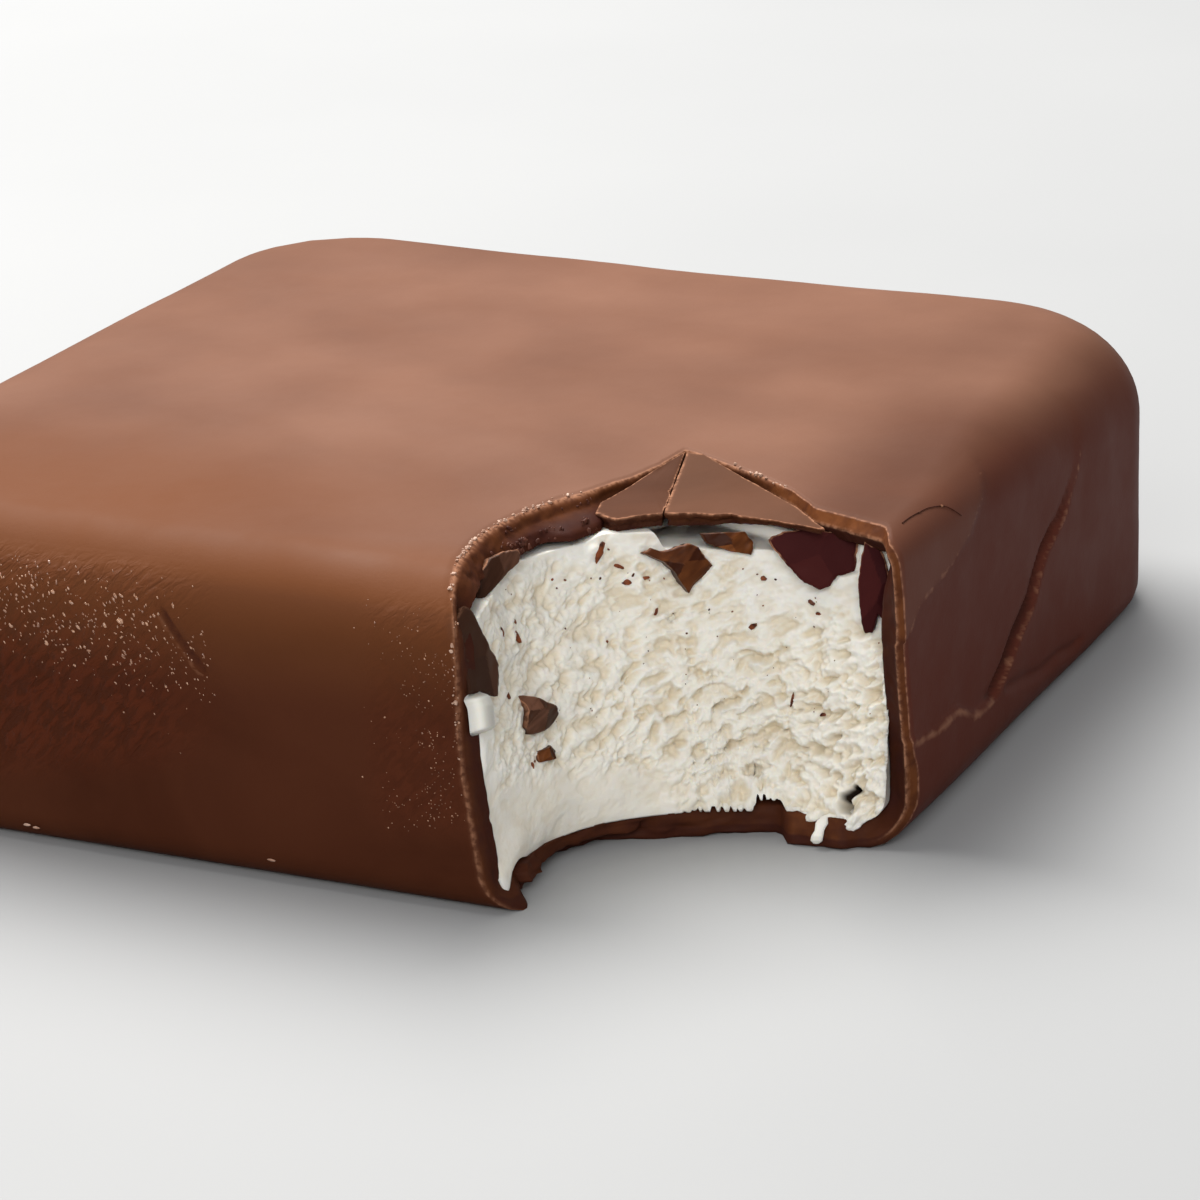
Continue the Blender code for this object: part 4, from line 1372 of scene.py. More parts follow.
@dataclass(frozen=True)
class Dew:
    """Frozen droplets on the front skin, pale crumbs along the broken rim and dark beads in the lip; the
    droplets' and crumbs' pale colour is partly their own and partly painted glints.

    coarse, fine, beads and rim are counts; flakes are the places (x, z) of pale flakes low on the front.
    """

    coating: Coating
    coarse: int = 560
    fine: int = 520
    beads: int = 70
    rim: int = 260
    flakes: Table = ((-15.9, 1.2), (-15.2, 1.1), (2.2, 1.5))

    def held_inside(self, places: Array, reach: Array) -> Array:
        """The places, moved back where bits of this reach would stand out past the front wall's plane."""
        least = self.coating.form.corner_y + 1.4 * reach
        return np.column_stack((places[:, 0], np.maximum(places[:, 1], least), places[:, 2]))

    def droplets(self) -> Surface:
        """Domes in two clusters: coarse ones away from the bite and fine ones beside it."""
        rng = np.random.default_rng(81)
        share = rng.uniform(0.0, 1.0, self.coarse) ** 0.8
        x = np.concatenate((-1.0 - 17.0 * share, rng.normal(13.9, 2.0, self.fine)))
        z = np.concatenate((14.4 + 3.0 * share + rng.normal(0.0, 1.9, self.coarse),
                            rng.uniform(4.0, 20.0, self.fine)))
        clustered = Noise(83).smooth(np.column_stack((x, 0 * x, z)) * MM, 2.6 * MM) > -0.05 - 0.5 * (x < 3)
        keep = (x < 16.0) & (z > 4.0) & (z < 19.4) & clustered
        x, z = x[keep], z[keep]
        places, normals = self.coating.front_places(x * MM, z * MM)
        size = np.concatenate((rng.gamma(1.8, 0.017, self.coarse) + 0.02,
                               rng.gamma(2.0, 0.008, self.fine) + 0.016))
        size = np.minimum(size, 0.11)[keep]
        stretch = np.concatenate((rng.uniform(1.1, 2.4, self.coarse), rng.uniform(1.0, 1.4, self.fine)))[keep]
        sizes = np.column_stack((size * stretch, size, size * 0.7)) * MM
        turns = np.radians(rng.normal(-52.0, 16.0, len(x)))
        return Scatter.surface(self.held_inside(places, sizes[:, 2]), normals, sizes, turns, 82)

    def crumbs(self) -> Surface:
        """Pale crumbs on the rim's outer edge, thickest on the lip left of the notch; their pale colour
        partly paints highlights on the rim.
        """
        rng = np.random.default_rng(91)
        rim, normal = self.coating.skin[1], self.coating.normal[1]
        angle = self.coating.form.angle(rim)
        z = rim[:, 2] / MM
        weight = between(angle, 138, 182, 3.0) * ease((z - 6.5) / 2.0) * (0.25 + 0.75 * ease((z - 17) / 3))
        weight = weight + 0.5 * between(angle, 111, 121, 2.0)
        weight = weight * (z > 3.0) * (0.25 + ease((Noise(92).smooth(rim, 2.4 * MM) + 0.1) / 0.4))
        pick = rng.choice(len(rim), self.rim, p=weight / weight.sum())
        places = rim[pick] + rng.normal(0.0, 0.08, (self.rim, 3)) * MM
        size = np.minimum(rng.gamma(1.7, 0.024, self.rim) + 0.02, 0.15)
        sizes = np.column_stack((size * rng.uniform(1.0, 1.6, self.rim), size, size * 0.8)) * MM
        places = self.held_inside(places, sizes[:, 0])
        flake = np.array(self.flakes)
        low, out = self.coating.front_places(flake[:, 0] * MM, flake[:, 1] * MM)
        flat = np.tile((0.28, 0.1, 0.08), (len(flake), 1)) * MM
        low = self.held_inside(low, flat[:, 2])
        turns = np.concatenate((rng.uniform(0, math.pi, self.rim), np.zeros(len(flake))))
        return Scatter.surface(
            np.concatenate((places, low)), np.concatenate((normal[pick], out)),
            np.concatenate((sizes, flat)), turns, 93)

    def lip_beads(self) -> Surface:
        """Dark glossy lumps where the lip's layers part, thickest beside the left plate."""
        rng = np.random.default_rng(96)
        coating = self.coating
        form, columns = coating.form, coating.columns
        rows = [form.place(columns, coating.mouth(share), share * form.shell) for share in (0.4, 0.65, 0.9)]
        places = np.concatenate(rows)
        turn = np.radians(form.angle(places))
        weight = np.concatenate([columns.top * share for share in (0.35, 1.0, 0.7)])
        weight = weight * between(np.degrees(turn), 132, 160, 4.0)
        weight = weight * (0.08 + ease((Noise(97).smooth(places, 1.8 * MM) - 0.05) / 0.2))
        pick = rng.choice(len(places), self.beads, p=weight / weight.sum())
        out = np.column_stack((-np.cos(turn), -np.sin(turn), np.full(len(turn), 0.4)))[pick]
        out = out / np.linalg.norm(out, axis=1)[:, None]
        size = np.minimum(rng.gamma(3.0, 0.02, self.beads) + 0.03, 0.16)
        sizes = np.column_stack((size * rng.uniform(1.2, 2.2, self.beads), size, size * 0.7)) * MM
        places = places[pick] + rng.normal(0.0, 0.08, (self.beads, 3)) * MM - out * 0.06 * MM
        return Scatter.surface(places, out, sizes, rng.uniform(0, math.pi, self.beads), 98)

    def build(self, dew_glint: bpy.types.Material, crumb: bpy.types.Material, bead: bpy.types.Material) -> None:
        """Make the three pieces and set them on the frame."""
        Scatter("frozen_dew_and_glint", Slot.MILK).build(self.droplets(), dew_glint, sharp_degrees=180)
        Scatter("rim_crumbs", Slot.MILK).build(self.crumbs(), crumb, sharp_degrees=40)
        Scatter("lip_beads", Slot.MILK).build(self.lip_beads(), bead, sharp_degrees=180)


@dataclass(frozen=True)
class Drip:
    """Run of melted ice cream over the shell's foot."""

    form: BarForm
    path: tuple[tuple[float, float, float, float], ...] = (
        (107.2, 18.9, 1.9, 0.2), (107.6, 18.4, 1.5, 0.42), (108.0, 17.95, 1.2, 0.3),
        (108.4, 17.75, 0.95, 0.36), (108.6, 17.75, 0.6, 0.38), (108.7, 17.8, 0.34, 0.16))
    heading: float = 105.5
    around: int = 20
    steps: int = 40

    def surface(self) -> Surface:
        """Tube along the path of (plan angle, distance, height, radius), closed at both ends."""
        known = np.array(self.path)
        at = np.linspace(0, len(known) - 1, self.steps)
        angle, reach, z, radius = (np.interp(at, np.arange(len(known)), known[:, k]) for k in range(4))
        middle = self.form.at(angle, reach * MM, z * MM)
        noise = Noise(61)
        turn = np.linspace(0, 2 * math.pi, self.around, endpoint=False)
        heading = math.radians(self.heading)
        across = np.array((math.sin(heading), -math.cos(heading), 0.0))
        out = np.array((-math.cos(heading), -math.sin(heading), 0.35))
        uneven = 1 + 0.25 * noise.smooth(middle[:, None] + turn[None, :, None] * 0.2 * MM, 0.6 * MM)
        reach_out = radius[:, None] * MM * uneven
        reach_out[[0, -1]] = 0.0
        points = (middle[:, None] + reach_out[..., None]
                  * (np.cos(turn)[None, :, None] * across + 0.6 * np.sin(turn)[None, :, None] * out))
        count = self.steps * self.around
        return Surface.on_grid(points, closed=True, attributes={
            "hollow_shade": np.zeros(count), "melted": np.full(count, 0.6), "pit_shade": np.zeros(count)})

    def build(self, finish: bpy.types.Material) -> None:
        """Make the drip and set it on the frame."""
        hand_over(self.surface().build("cream_drip", sharp_degrees=180), finish)


@dataclass(frozen=True)
class Hairline:
    """Fine dark line where the film on the right face has cracked, close to the bite's upper corner: its dark
    colour paints the crack's shade and its pale beads paint highlights.
    """

    coating: Coating
    path: tuple[tuple[float, float, float], ...] = (
        (36.5, -16.7, 20.7), (36.5, -15.6, 20.65), (36.55, -14.5, 20.6), (36.65, -13.3, 20.55),
        (36.8, -12.3, 20.45), (37.0, -11.5, 20.3), (37.15, -10.9, 20.1), (37.45, -10.25, 19.7),
        (37.7, -9.4, 19.1))
    radius: float = 0.042 * MM
    lift: float = 0.04 * MM
    steps: int = 90
    around: int = 8

    def surface(self) -> Surface:
        """Tube along the path, drawn onto the skin, swelling into small beads, closed at both ends."""
        known = np.array(self.path) * MM
        skin, normal = (part.reshape(-1, 3) for part in (self.coating.skin, self.coating.normal))
        near = np.linalg.norm(skin - known[len(known) // 2], axis=1) < 7 * MM
        at = np.linspace(0, len(known) - 1, self.steps)
        target = np.stack([np.interp(at, np.arange(len(known)), known[:, k]) for k in range(3)], axis=-1)
        noise = Noise(65)
        target[:, 2] += 0.16 * MM * noise.layered(target, 1.1 * MM, 2)
        nearest = np.argmin(((skin[near][None] - target[:, None]) ** 2).sum(axis=-1), axis=1)
        out = normal[near][nearest]
        rise = np.sum((skin[near][nearest] - target) * out, axis=1) + self.lift
        middle = target + out * rise[:, None]
        padded = np.pad(middle, ((4, 4), (0, 0)), mode="edge")
        middle = np.stack([np.convolve(padded[:, k], np.ones(9) / 9, mode="valid") for k in range(3)],
                          axis=-1)
        turn = np.linspace(0, 2 * math.pi, self.around, endpoint=False)
        radius = self.radius * (0.7 + 1.2 * ease((noise.smooth(middle, 0.5 * MM) - 0.1) / 0.3))
        radius[[0, -1]] = 0.0
        ring = np.stack((np.cos(turn), 0.2 * np.sin(turn), np.sin(turn)), axis=-1)
        points = middle[:, None] + radius[:, None, None] * ring[None]
        # the beads carry painted highlights
        beads = np.repeat(ease((radius / self.radius - 1.3) / 0.4), self.around)
        return Surface.on_grid(points, closed=True, attributes=chocolate_marks(
            len(beads), broken=np.ones(len(beads)), crest=beads))

    def build(self, finish: bpy.types.Material) -> None:
        """Make the line and set it on the frame."""
        hand_over(self.surface().build("film_hairline", sharp_degrees=180), finish)


@dataclass
class Shader:
    """Small helper that adds shader nodes to one material and links them."""

    material: bpy.types.Material

    @staticmethod
    def fresh(name: str) -> "Shader":
        """Start an empty node material."""
        material = bpy.data.materials.new(name)
        material.use_nodes = True
        material.node_tree.nodes.clear()
        return Shader(material)

    def add(self, kind: str, **values: object) -> bpy.types.Node:
        """Add a node and set its properties."""
        node = self.material.node_tree.nodes.new(kind)
        for key, value in values.items():
            setattr(node, key, value)
        return node

    def link(self, source: bpy.types.NodeSocket, target: bpy.types.NodeSocket) -> None:
        """Join an output to an input."""
        self.material.node_tree.links.new(source, target)

    def mask(self, name: str) -> bpy.types.NodeSocket:
        """A point attribute of the piece, as a factor."""
        return self.add("ShaderNodeAttribute", attribute_name=name).outputs["Fac"]

    def noise(self, scale: float, detail: float = 3.0, rough: float = 0.5, warp: float = 0.0,
              stretch: tuple[float, float, float] = (1.0, 1.0, 1.0),
              lean: float = 0.0) -> bpy.types.NodeSocket:
        """Noise texture on Object coordinates.

        Args:
            scale: Cells to the metre.
            detail: Octaves.
            rough: How strongly fine octaves show.
            warp: Distortion.
            stretch: Scale on each axis.
            lean: Turn about the Y axis before stretching, in degrees.

        Returns:
            The factor output.
        """
        node = self.add("ShaderNodeTexNoise")
        node.inputs["Scale"].default_value = scale
        node.inputs["Detail"].default_value = detail
        node.inputs["Roughness"].default_value = rough
        node.inputs["Distortion"].default_value = warp
        mapping = self.add("ShaderNodeMapping", vector_type="TEXTURE")
        mapping.inputs["Rotation"].default_value = (0.0, math.radians(lean), 0.0)
        mapping.inputs["Scale"].default_value = tuple(1.0 / value for value in stretch)
        self.link(self.add("ShaderNodeTexCoord").outputs["Object"], mapping.inputs["Vector"])
        self.link(mapping.outputs["Vector"], node.inputs["Vector"])
        return node.outputs["Fac"]

    def remap(self, value: bpy.types.NodeSocket, low: float, high: float, to_low: float,
              to_high: float) -> bpy.types.NodeSocket:
        """Map a value from one range to another, cut at the ends."""
        node = self.add("ShaderNodeMapRange")
        self.link(value, node.inputs["Value"])
        for key, number in (("From Min", low), ("From Max", high), ("To Min", to_low), ("To Max", to_high)):
            node.inputs[key].default_value = number
        return node.outputs["Result"]

    def combine(self, operation: str, first: bpy.types.NodeSocket,
                second: bpy.types.NodeSocket | float) -> bpy.types.NodeSocket:
        """A Math node on two values."""
        node = self.add("ShaderNodeMath", operation=operation)
        self.link(first, node.inputs[0])
        if isinstance(second, float):
            node.inputs[1].default_value = second
        else:
            self.link(second, node.inputs[1])
        return node.outputs[0]

    def mix(self, factor: bpy.types.NodeSocket, first: tuple[float, ...] | bpy.types.NodeSocket,
            second: tuple[float, ...] | bpy.types.NodeSocket) -> bpy.types.NodeSocket:
        """Blend two colours by a factor."""
        node = self.add("ShaderNodeMix", data_type="RGBA")
        self.link(factor, node.inputs["Factor"])
        for socket, value in ((node.inputs[6], first), (node.inputs[7], second)):
            if isinstance(value, tuple):
                socket.default_value = (*value, 1.0)
            else:
                self.link(value, socket)
        return node.outputs[2]

    def bump(self, height: bpy.types.NodeSocket, distance: float, strength: float,
             normal: bpy.types.NodeSocket | None = None) -> bpy.types.NodeSocket:
        """Bump from a height, over an earlier normal if there is one."""
        node = self.add("ShaderNodeBump")
        node.inputs["Distance"].default_value = distance
        node.inputs["Strength"].default_value = strength
        self.link(height, node.inputs["Height"])
        if normal is not None:
            self.link(normal, node.inputs["Normal"])
        return node.outputs["Normal"]

    def surface(self, **values: float | tuple[float, ...]) -> bpy.types.Node:
        """Principled shader joined to the output, with constants on its sockets."""
        node = self.add("ShaderNodeBsdfPrincipled")
        for key, value in values.items():
            node.inputs[key.replace("_", " ")].default_value = value
        self.link(node.outputs["BSDF"], self.add("ShaderNodeOutputMaterial").inputs["Surface"])
        return node


Colour = tuple[float, float, float]


@dataclass(frozen=True)
class Chocolate:
    """Satin chocolate: deep and pale brown mottled together, a pale painted sheen, torn and amber breaks,
    crests.

    The painted sheen is pale colour standing in for light caught on the lit top. The breaks' dark torn colour
    is partly painted shade, and their amber is partly painted light. Crests carry pale painted highlights and
    grooves carry painted shade. rust tints the skin, and two more colours paint tan light where light falls
    and a purplish reflection on the right face. roughness is a range, and level is how strongly the surface
    reflects.
    """

    name: str
    deep: Colour
    pale: Colour
    bloom: Colour
    torn: Colour
    roughness: tuple[float, float]
    level: float
    amber: Colour = (0.19, 0.062, 0.019)
    crest: Colour = (0.42, 0.2, 0.115)
    rust: Colour = (0.1, 0.021, 0.008)
    tan: Colour = (0.168, 0.057, 0.02)
    painted_side_sheen: Colour = (0.11, 0.028, 0.018)

    def make(self) -> bpy.types.Material:
        """Build the material."""
        tree = Shader.fresh(self.name)
        mottle = tree.remap(tree.noise(70.0, 4.0, 0.55, 0.6), 0.36, 0.66, 0.0, 1.0)
        skin = tree.mix(mottle, self.deep, self.pale)
        skin = tree.mix(tree.combine("MULTIPLY", tree.mask("frost"), 0.6), skin, self.rust)
        wrinkles = tree.noise(2100.0, 2.0, 0.55, 0.5, (1.0, 0.8, 0.32), 42.0)
        # painted shade in the wrinkles' troughs, from the same noise that bumps them
        low = tree.remap(wrinkles, 0.44, 0.56, 0.8, 0.0)
        skin = tree.mix(tree.combine("MULTIPLY", low, tree.mask("frost")), skin, self.deep)
        # painted reflection: purplish tint on the right face
        skin = tree.mix(tree.mask("painted_side_sheen"), skin, self.painted_side_sheen)
        # painted sheen: the pale colour of light caught on the lit top, mottled by patches
        patches = tree.remap(tree.noise(95.0, 4.0), 0.3, 0.65, 0.8, 1.0)
        skin = tree.mix(tree.combine("MULTIPLY", tree.mask("bloom"), patches), skin, self.bloom)
        # painted light: tan where light falls on the top's front and the front wall's upper part
        skin = tree.mix(tree.mask("painted_light"), skin, self.tan)
        # breaks: the torn colour is partly painted shade, and the amber partly painted light
        broken = tree.mix(tree.remap(tree.noise(900.0, 3.0), 0.35, 0.65, 0.0, 0.6), self.torn, self.deep)
        uneven = tree.remap(tree.noise(650.0, 4.0, 0.6), 0.36, 0.62, 0.35, 1.0)
        broken = tree.mix(tree.combine("MULTIPLY", tree.mask("amber"), uneven), broken, self.amber)
        colour = tree.mix(tree.mask("broken"), skin, broken)
        # painted shade along grooves, in the torn colour
        colour = tree.mix(tree.remap(tree.mask("shaded_groove"), 0.7, 0.92, 0.0, 0.85), colour, self.torn)
        # painted highlights along crests, in the crest colour
        colour = tree.mix(tree.remap(tree.mask("painted_highlight_line"), 0.8, 1.0, 0.0, 0.45), colour, self.crest)
        # painted highlights on thin edges, speckled
        speckle = tree.remap(tree.noise(2600.0, 2.0), 0.42, 0.6, 0.25, 1.0)
        colour = tree.mix(tree.combine("MULTIPLY", tree.mask("crest"), speckle), colour, self.crest)
        shader = tree.surface(Specular_IOR_Level=self.level)
        tree.link(colour, shader.inputs["Base Color"])
        gloss = tree.remap(tree.noise(160.0, 3.0, 0.6), 0.3, 0.7, *self.roughness)
        tree.link(tree.combine("SUBTRACT", gloss, tree.combine("MULTIPLY", tree.mask("frost"), 0.1)),
                  shader.inputs["Roughness"])
        pores = tree.bump(tree.noise(3200.0, 2.0, 0.6), 0.00003, 0.35)
        wrinkles = tree.combine("MULTIPLY", wrinkles, tree.mask("frost"))
        tree.link(tree.bump(wrinkles, 0.0003, 1.0, pores), shader.inputs["Normal"])
        return tree.material


@dataclass(frozen=True)
class Cream:
    """Ice cream: off-white with painted warmer shade in its hollows and painted near-black shade in a deep
    slot, light passing through it, glossier where it has melted.
    """

    name: str
    body: Colour
    hollow_shade: Colour
    melted: Colour
    pit_shade: Colour = (0.035, 0.02, 0.012)

    def make(self) -> bpy.types.Material:
        """Build the material."""
        tree = Shader.fresh(self.name)
        shade = tree.remap(tree.noise(420.0, 4.0, 0.6), 0.3, 0.75, 0.6, 1.0)
        # painted shade in the hollows between lumps
        hollow_shade = tree.combine("MULTIPLY", tree.remap(tree.mask("hollow_shade"), 0.05, 0.95, 0.0, 1.0), shade)
        colour = tree.mix(tree.combine("MULTIPLY", tree.mask("melted"), 0.8), self.body, self.melted)
        colour = tree.mix(hollow_shade, colour, self.hollow_shade)
        # painted shade, near black, in the deep slot
        colour = tree.mix(tree.remap(tree.mask("pit_shade"), 0.12, 0.8, 0.0, 1.0), colour, self.pit_shade)
        shader = tree.surface(Specular_IOR_Level=0.35, Subsurface_Weight=0.3, Subsurface_Scale=0.0004,
                              Subsurface_Radius=(1.0, 0.8, 0.55))
        tree.link(colour, shader.inputs["Base Color"])
        tree.link(tree.remap(tree.mask("melted"), 0.0, 1.0, 0.6, 0.36), shader.inputs["Roughness"])
        tree.link(tree.bump(tree.noise(5200.0, 3.0, 0.65), 0.00004, 0.4), shader.inputs["Normal"])
        return tree.material


@dataclass(frozen=True)
class Mottled:
    """Plain finish of two close colours mottled together.

    scale is the mottling's cells to the metre, and level is how strongly the surface reflects.
    """

    name: str
    light: Colour
    dark: Colour
    scale: float
    roughness: float
    level: float

    def make(self) -> bpy.types.Material:
        """Build the material."""
        tree = Shader.fresh(self.name)
        shader = tree.surface(Roughness=self.roughness, Specular_IOR_Level=self.level)
        factor = tree.remap(tree.noise(self.scale, 3.0), 0.38, 0.62, 0.0, 1.0)
        tree.link(tree.mix(factor, self.dark, self.light), shader.inputs["Base Color"])
        return tree.material


def aimed(place: Array, back: Array, right: Array, up: Array) -> Matrix:
    """Matrix of something at a place that looks away from the back direction."""
    return Matrix((
        (right[0], up[0], back[0], place[0]), (right[1], up[1], back[1], place[1]),
        (right[2], up[2], back[2], place[2]), (0.0, 0.0, 0.0, 1.0)))


@dataclass(frozen=True)
class SoftBox:
    """Soft rectangular light that looks at the bar."""

    name: str
    place: tuple[float, float, float]
    size: tuple[float, float]
    watts: float
    colour: Colour

    def build(self) -> None:
        """Make the lamp."""
        lamp = bpy.data.lights.new(self.name, "AREA")
        lamp.shape = "RECTANGLE"
        lamp.size, lamp.size_y = self.size
        lamp.energy = self.watts
        lamp.color = self.colour
        item = bpy.data.objects.new(self.name, lamp)
        place = np.array(self.place)
        back = place / np.linalg.norm(place)
        right = np.cross((0.0, 0.0, 1.0), back)
        right = right / np.linalg.norm(right)
        item.matrix_world = aimed(place, back, right, np.cross(back, right))
        bpy.context.scene.collection.objects.link(item)


@dataclass(frozen=True)
class Studio:
    """Floor, soft lights, pale surroundings and the camera.

    The camera looks at a place moved sideways and up from the bar's middle by across and up. Angles are in
    degrees, and the lens is in millimetres.
    """

    azimuth: float = 25.43
    elevation: float = 19.81
    roll: float = -2.0
    distance: float = 292.6 * MM
    across: float = 6.93 * MM
    up: float = 5.09 * MM
    lens: float = 123.72
    floor_size: float = 6.0
    surroundings: float = 0.3
    sky: Colour = (0.97, 0.98, 1.0)
    floor: Mottled = Mottled("pale_floor", (0.4, 0.41, 0.42), (0.385, 0.395, 0.405), scale=9.0,
                             roughness=0.6, level=0.3)
    lights: tuple[SoftBox, ...] = (
        SoftBox("overhead_box", place=(-0.30, 0.20, 0.52), size=(0.6, 0.45), watts=8.5,
                colour=(1.0, 0.97, 0.93)),
        SoftBox("front_fill", place=(0.28, -0.75, 0.50), size=(0.6, 0.45), watts=4.0,
                colour=(1.0, 0.98, 0.95)),
    )

    def build(self) -> None:
        """Make everything round the bar."""
        self.make_floor()
        for light in self.lights:
            light.build()
        world = bpy.data.worlds.new("pale_studio")
        world.use_nodes = True
        background = world.node_tree.nodes["Background"]
        background.inputs["Color"].default_value = (*self.sky, 1.0)
        background.inputs["Strength"].default_value = self.surroundings
        bpy.context.scene.world = world
        bpy.context.scene.view_settings.view_transform = "Standard"
        self.make_camera()

    def make_floor(self) -> None:
        """Lay the floor under the bar."""
        half = self.floor_size / 2
        mesh = bpy.data.meshes.new("floor")
        mesh.from_pydata([(-half, -half, 0), (half, -half, 0), (half, half, 0), (-half, half, 0)], [],
                         [(0, 1, 2, 3)])
        floor = bpy.data.objects.new("floor", mesh)
        floor.data.materials.append(self.floor.make())
        bpy.context.scene.collection.objects.link(floor)

    def make_camera(self) -> None:
        """Set the camera, turned about its own axis by the roll."""
        a, e, r = (math.radians(value) for value in (self.azimuth, self.elevation, self.roll))
        back = np.array((math.sin(a) * math.cos(e), -math.cos(a) * math.cos(e), math.sin(e)))
        level = np.array((math.cos(a), math.sin(a), 0.0))
        upright = np.cross(back, level)
        data = bpy.data.cameras.new("camera")
        data.lens = self.lens
        data.clip_start, data.clip_end = 0.01, 20.0
        camera = bpy.data.objects.new("camera", data)
        camera.matrix_world = aimed(back * self.distance + level * self.across + upright * self.up, back,
                                    math.cos(r) * level + math.sin(r) * upright,
                                    math.cos(r) * upright - math.sin(r) * level)
        bpy.context.scene.collection.objects.link(camera)
        bpy.context.scene.camera = camera


CHOCOLATES = {
    Tone.MILK: Chocolate("milk_chocolate_skin", deep=(0.058, 0.0155, 0.0065), pale=(0.08, 0.023, 0.01),
                         bloom=(0.232, 0.113, 0.073), torn=(0.045, 0.013, 0.009),
                         roughness=(0.46, 0.6), level=0.04),
    Tone.PLATE: Chocolate("milk_chocolate_plate", deep=(0.075, 0.028, 0.014), pale=(0.115, 0.045, 0.024),
                          bloom=(0.2, 0.1, 0.06), torn=(0.04, 0.012, 0.008),
                          roughness=(0.55, 0.65), level=0.03),
    Tone.DARK: Chocolate("dark_chocolate_break", deep=(0.034, 0.0065, 0.0075), pale=(0.046, 0.009, 0.01),
                         bloom=(0.07, 0.015, 0.014), torn=(0.03, 0.01, 0.01),
                         roughness=(0.42, 0.54), level=0.02),
    Tone.AMBER: Chocolate("amber_chocolate_break", deep=(0.022, 0.006, 0.003), pale=(0.045, 0.012, 0.005),
                          bloom=(0.27, 0.085, 0.022), torn=(0.05, 0.02, 0.01),
                          roughness=(0.3, 0.42), level=0.06),
    Tone.BROWN: Chocolate("brown_chocolate_break", deep=(0.035, 0.013, 0.007), pale=(0.06, 0.024, 0.012),
                          bloom=(0.15, 0.066, 0.04), torn=(0.05, 0.02, 0.01),
                          roughness=(0.36, 0.5), level=0.08),
}

CREAM = Cream("vanilla_cream", body=(0.94, 0.91, 0.83), hollow_shade=(0.78, 0.69, 0.53), melted=(0.94, 0.92, 0.86))

SMALL_FINISHES = (
    # droplets: pale glossy colour, partly frost and partly painted glints
    Mottled("frozen_dew_and_glint", (0.55, 0.3, 0.18), (0.25, 0.1, 0.05), scale=900.0, roughness=0.16, level=1.0),
    Mottled("lip_bead", (0.12, 0.042, 0.026), (0.05, 0.014, 0.009), scale=900.0, roughness=0.45, level=0.12),
    # crumbs: pale colour, partly their own and partly painted highlights on the rim
    Mottled("crumb_and_glint", (0.62, 0.42, 0.32), (0.38, 0.2, 0.13), scale=900.0, roughness=0.5, level=0.4),
    Mottled("sliver_brown", (0.24, 0.06, 0.018), (0.05, 0.012, 0.006), scale=1500.0, roughness=0.45,
            level=0.2),
)

FLAPS = (
    Flap("flap_left",
         corners=((18.1, -8.2, 21.0), (17.6, -11.4, 20.85), (17.0, -14.4, 20.45), (16.2, -17.2, 20.15),
                  (16.6, -18.9, 20.05), (18.35, -19.75, 20.1), (20.75, -17.85, 20.2)),
         front=(0.42, 0.78), amber=0.12, seed=101),
    Flap("flap_right",
         corners=((18.3, -8.2, 21.0), (20.95, -17.85, 20.2), (24.9, -16.75, 20.2), (28.0, -16.95, 20.2),
                  (31.6, -17.3, 20.1), (28.7, -14.6, 20.35), (26.6, -13.2, 20.5), (23.3, -11.0, 20.75),
                  (21.1, -9.4, 20.9), (19.4, -8.2, 21.0)),
         front=(0.26, 0.68), amber=0.28, seed=102, dusty=0.25, taper=0.6),
)

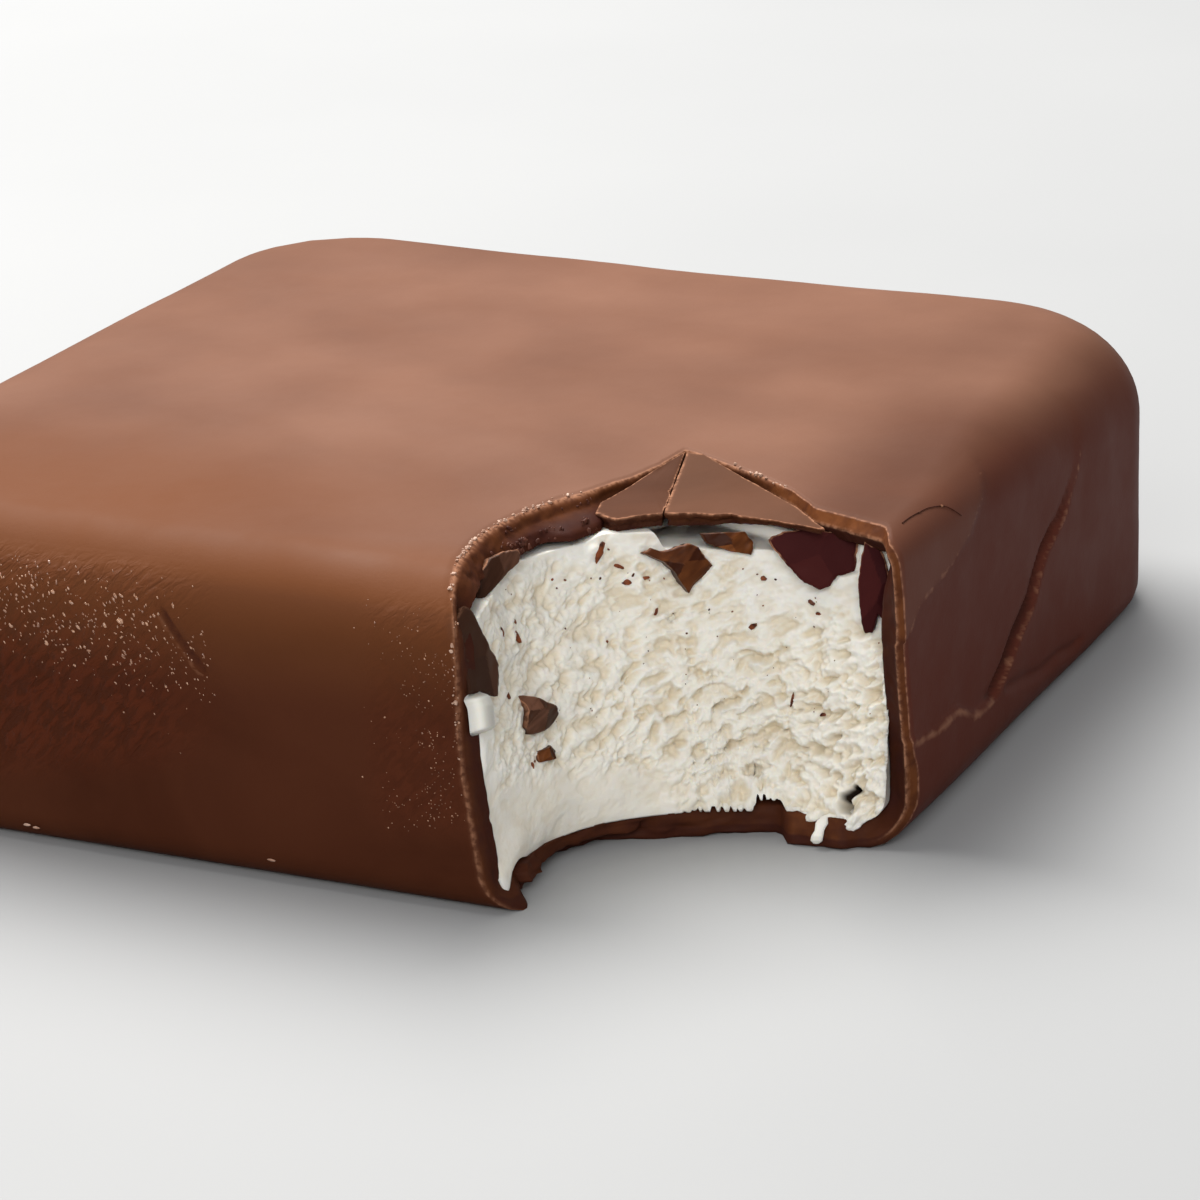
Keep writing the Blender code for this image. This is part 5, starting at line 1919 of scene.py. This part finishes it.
SHARDS = (
    Shard("shard_wedge", Tone.DARK, angle=108.9, height=17.7, lean=20, thickness=1.3, proud=0.5,
          outline=((-3.0, 1.2), (-2.5, 0.45), (-1.7, -0.45), (-1.15, -1.1), (-0.6, -1.5), (0.3, -2.0),
                   (1.0, -1.7), (1.45, -1.05), (2.0, -0.95), (2.55, -0.8), (2.65, 0.4), (2.8, 1.5),
                   (1.5, 1.65), (-0.6, 1.9), (-2.2, 1.65)),
          facets=4, depth_of_facets=0.3, seed=111, crest=1.0),
    Shard("shard_side", Tone.DARK, angle=99.3, height=16.3, lean=12, thickness=1.2, proud=0.6,
          outline=((-0.3, 3.1), (-0.55, 1.9), (-0.65, 0.4), (-0.5, -0.9), (-0.3, -2.1), (-0.1, -2.6),
                   (0.35, -2.6), (0.55, -1.9), (0.7, -1.3), (1.0, -1.65), (1.2, -1.75), (1.35, -0.5),
                   (1.3, 1.0), (1.0, 2.2), (0.6, 3.0)),
          facets=4, depth_of_facets=0.6, seed=112, crest=0.8),
    Shard("shard_tip", Tone.AMBER, angle=128.9, height=17.0, lean=18, thickness=1.2, proud=0.7,
          outline=((-2.6, 1.2), (-1.4, 0.5), (-0.75, -0.2), (-0.45, -0.8), (0.15, -1.7), (0.65, -1.05),
                   (1.3, -0.65), (1.8, -0.1), (1.3, 0.5), (1.0, 1.2), (0.3, 1.5), (-0.7, 1.25),
                   (-1.5, 1.2), (-2.0, 1.45)),
          facets=7, depth_of_facets=0.8, seed=122, crest=0.6, glow=0.42, grooves=0.05),
    Shard("shard_back", Tone.AMBER, angle=121.9, height=18.4, lean=20, thickness=1.0, proud=0.3,
          outline=((-1.9, 0.8), (-1.5, 0.15), (-0.85, -0.15), (0.0, -0.5), (1.3, -0.8), (1.5, -0.05),
                   (1.0, 0.7)),
          facets=5, depth_of_facets=0.5, seed=114, crest=0.5, glow=0.8, grooves=0.04),
    Shard("shard_corner", Tone.BROWN, angle=158.2, height=18.75, lean=24, thickness=0.9, proud=0.75,
          outline=((-2.9, -0.7), (-2.6, -0.95), (-1.2, -0.35), (0.0, 0.2), (1.1, 0.55), (1.55, 0.9),
                   (1.35, 1.3), (0.05, 1.5), (-1.2, 1.35), (-2.3, 0.55)),
          facets=4, depth_of_facets=0.45, seed=115, crest=0.9, glow=0.7, grooves=0.05),
    Shard("shard_wall", Tone.BROWN, angle=171.2, height=15.9, lean=8, thickness=1.2, proud=0.25,
          outline=((-2.3, 3.0), (-2.4, -1.7), (-1.0, -2.2), (0.4, -2.85), (0.95, -1.0), (0.8, -0.45),
                   (0.25, 0.6), (-0.3, 2.0), (-0.85, 3.3), (-1.3, 3.5)),
          facets=3, depth_of_facets=0.2, seed=116, crest=0.2, glow=0.35),
    Shard("chip_large", Tone.BROWN, angle=156.0, height=9.7, lean=14, thickness=1.4, proud=0.7,
          outline=((-1.9, 2.0), (-1.6, 1.3), (-1.65, 0.65), (-1.95, -0.15), (-1.6, -0.7), (-0.3, -0.85),
                   (0.7, -0.6), (1.0, -0.05), (0.6, 0.6), (0.05, 0.9), (-0.65, 1.45)),
          facets=8, depth_of_facets=1.1, seed=117, crest=0.9, glow=1.3, grooves=0.06),
    Shard("chip_small", Tone.AMBER, angle=155.3, height=7.1, lean=14, thickness=0.8, proud=0.35,
          outline=((-1.2, 0.55), (-1.2, -0.05), (0.1, -0.15), (0.28, 0.3), (-0.05, 0.76)),
          facets=5, depth_of_facets=0.4, seed=118, crest=0.5, glow=0.7, grooves=0.04),
)


def main() -> None:
    """Build the bar's pieces in order, then the studio."""
    logging.basicConfig(level=logging.INFO, format="%(message)s")
    form = BarForm.from_frame()
    finishes = {tone: finish.make() for tone, finish in CHOCOLATES.items()}
    cream_finish = CREAM.make()
    dew_glint_finish, bead_finish, crumb_glint_finish, sliver_finish = (finish.make() for finish in SMALL_FINISHES)
    coating = Coating(form, BrokenEdge(form))
    coating.build(finishes[Tone.MILK])
    cream = IceCream(form, SHARDS)
    cream.build(cream_finish)
    Drip(form).build(cream_finish)
    for flap in FLAPS:
        flap.build(finishes[Tone.PLATE])
    for shard in SHARDS:
        shard.build(cream, finishes)
    Slivers(cream).build(sliver_finish)
    Dew(coating).build(dew_glint_finish, crumb_glint_finish, bead_finish)
    Hairline(coating).build(finishes[Tone.MILK])
    Studio().build()


if __name__ == "__main__":
    main()
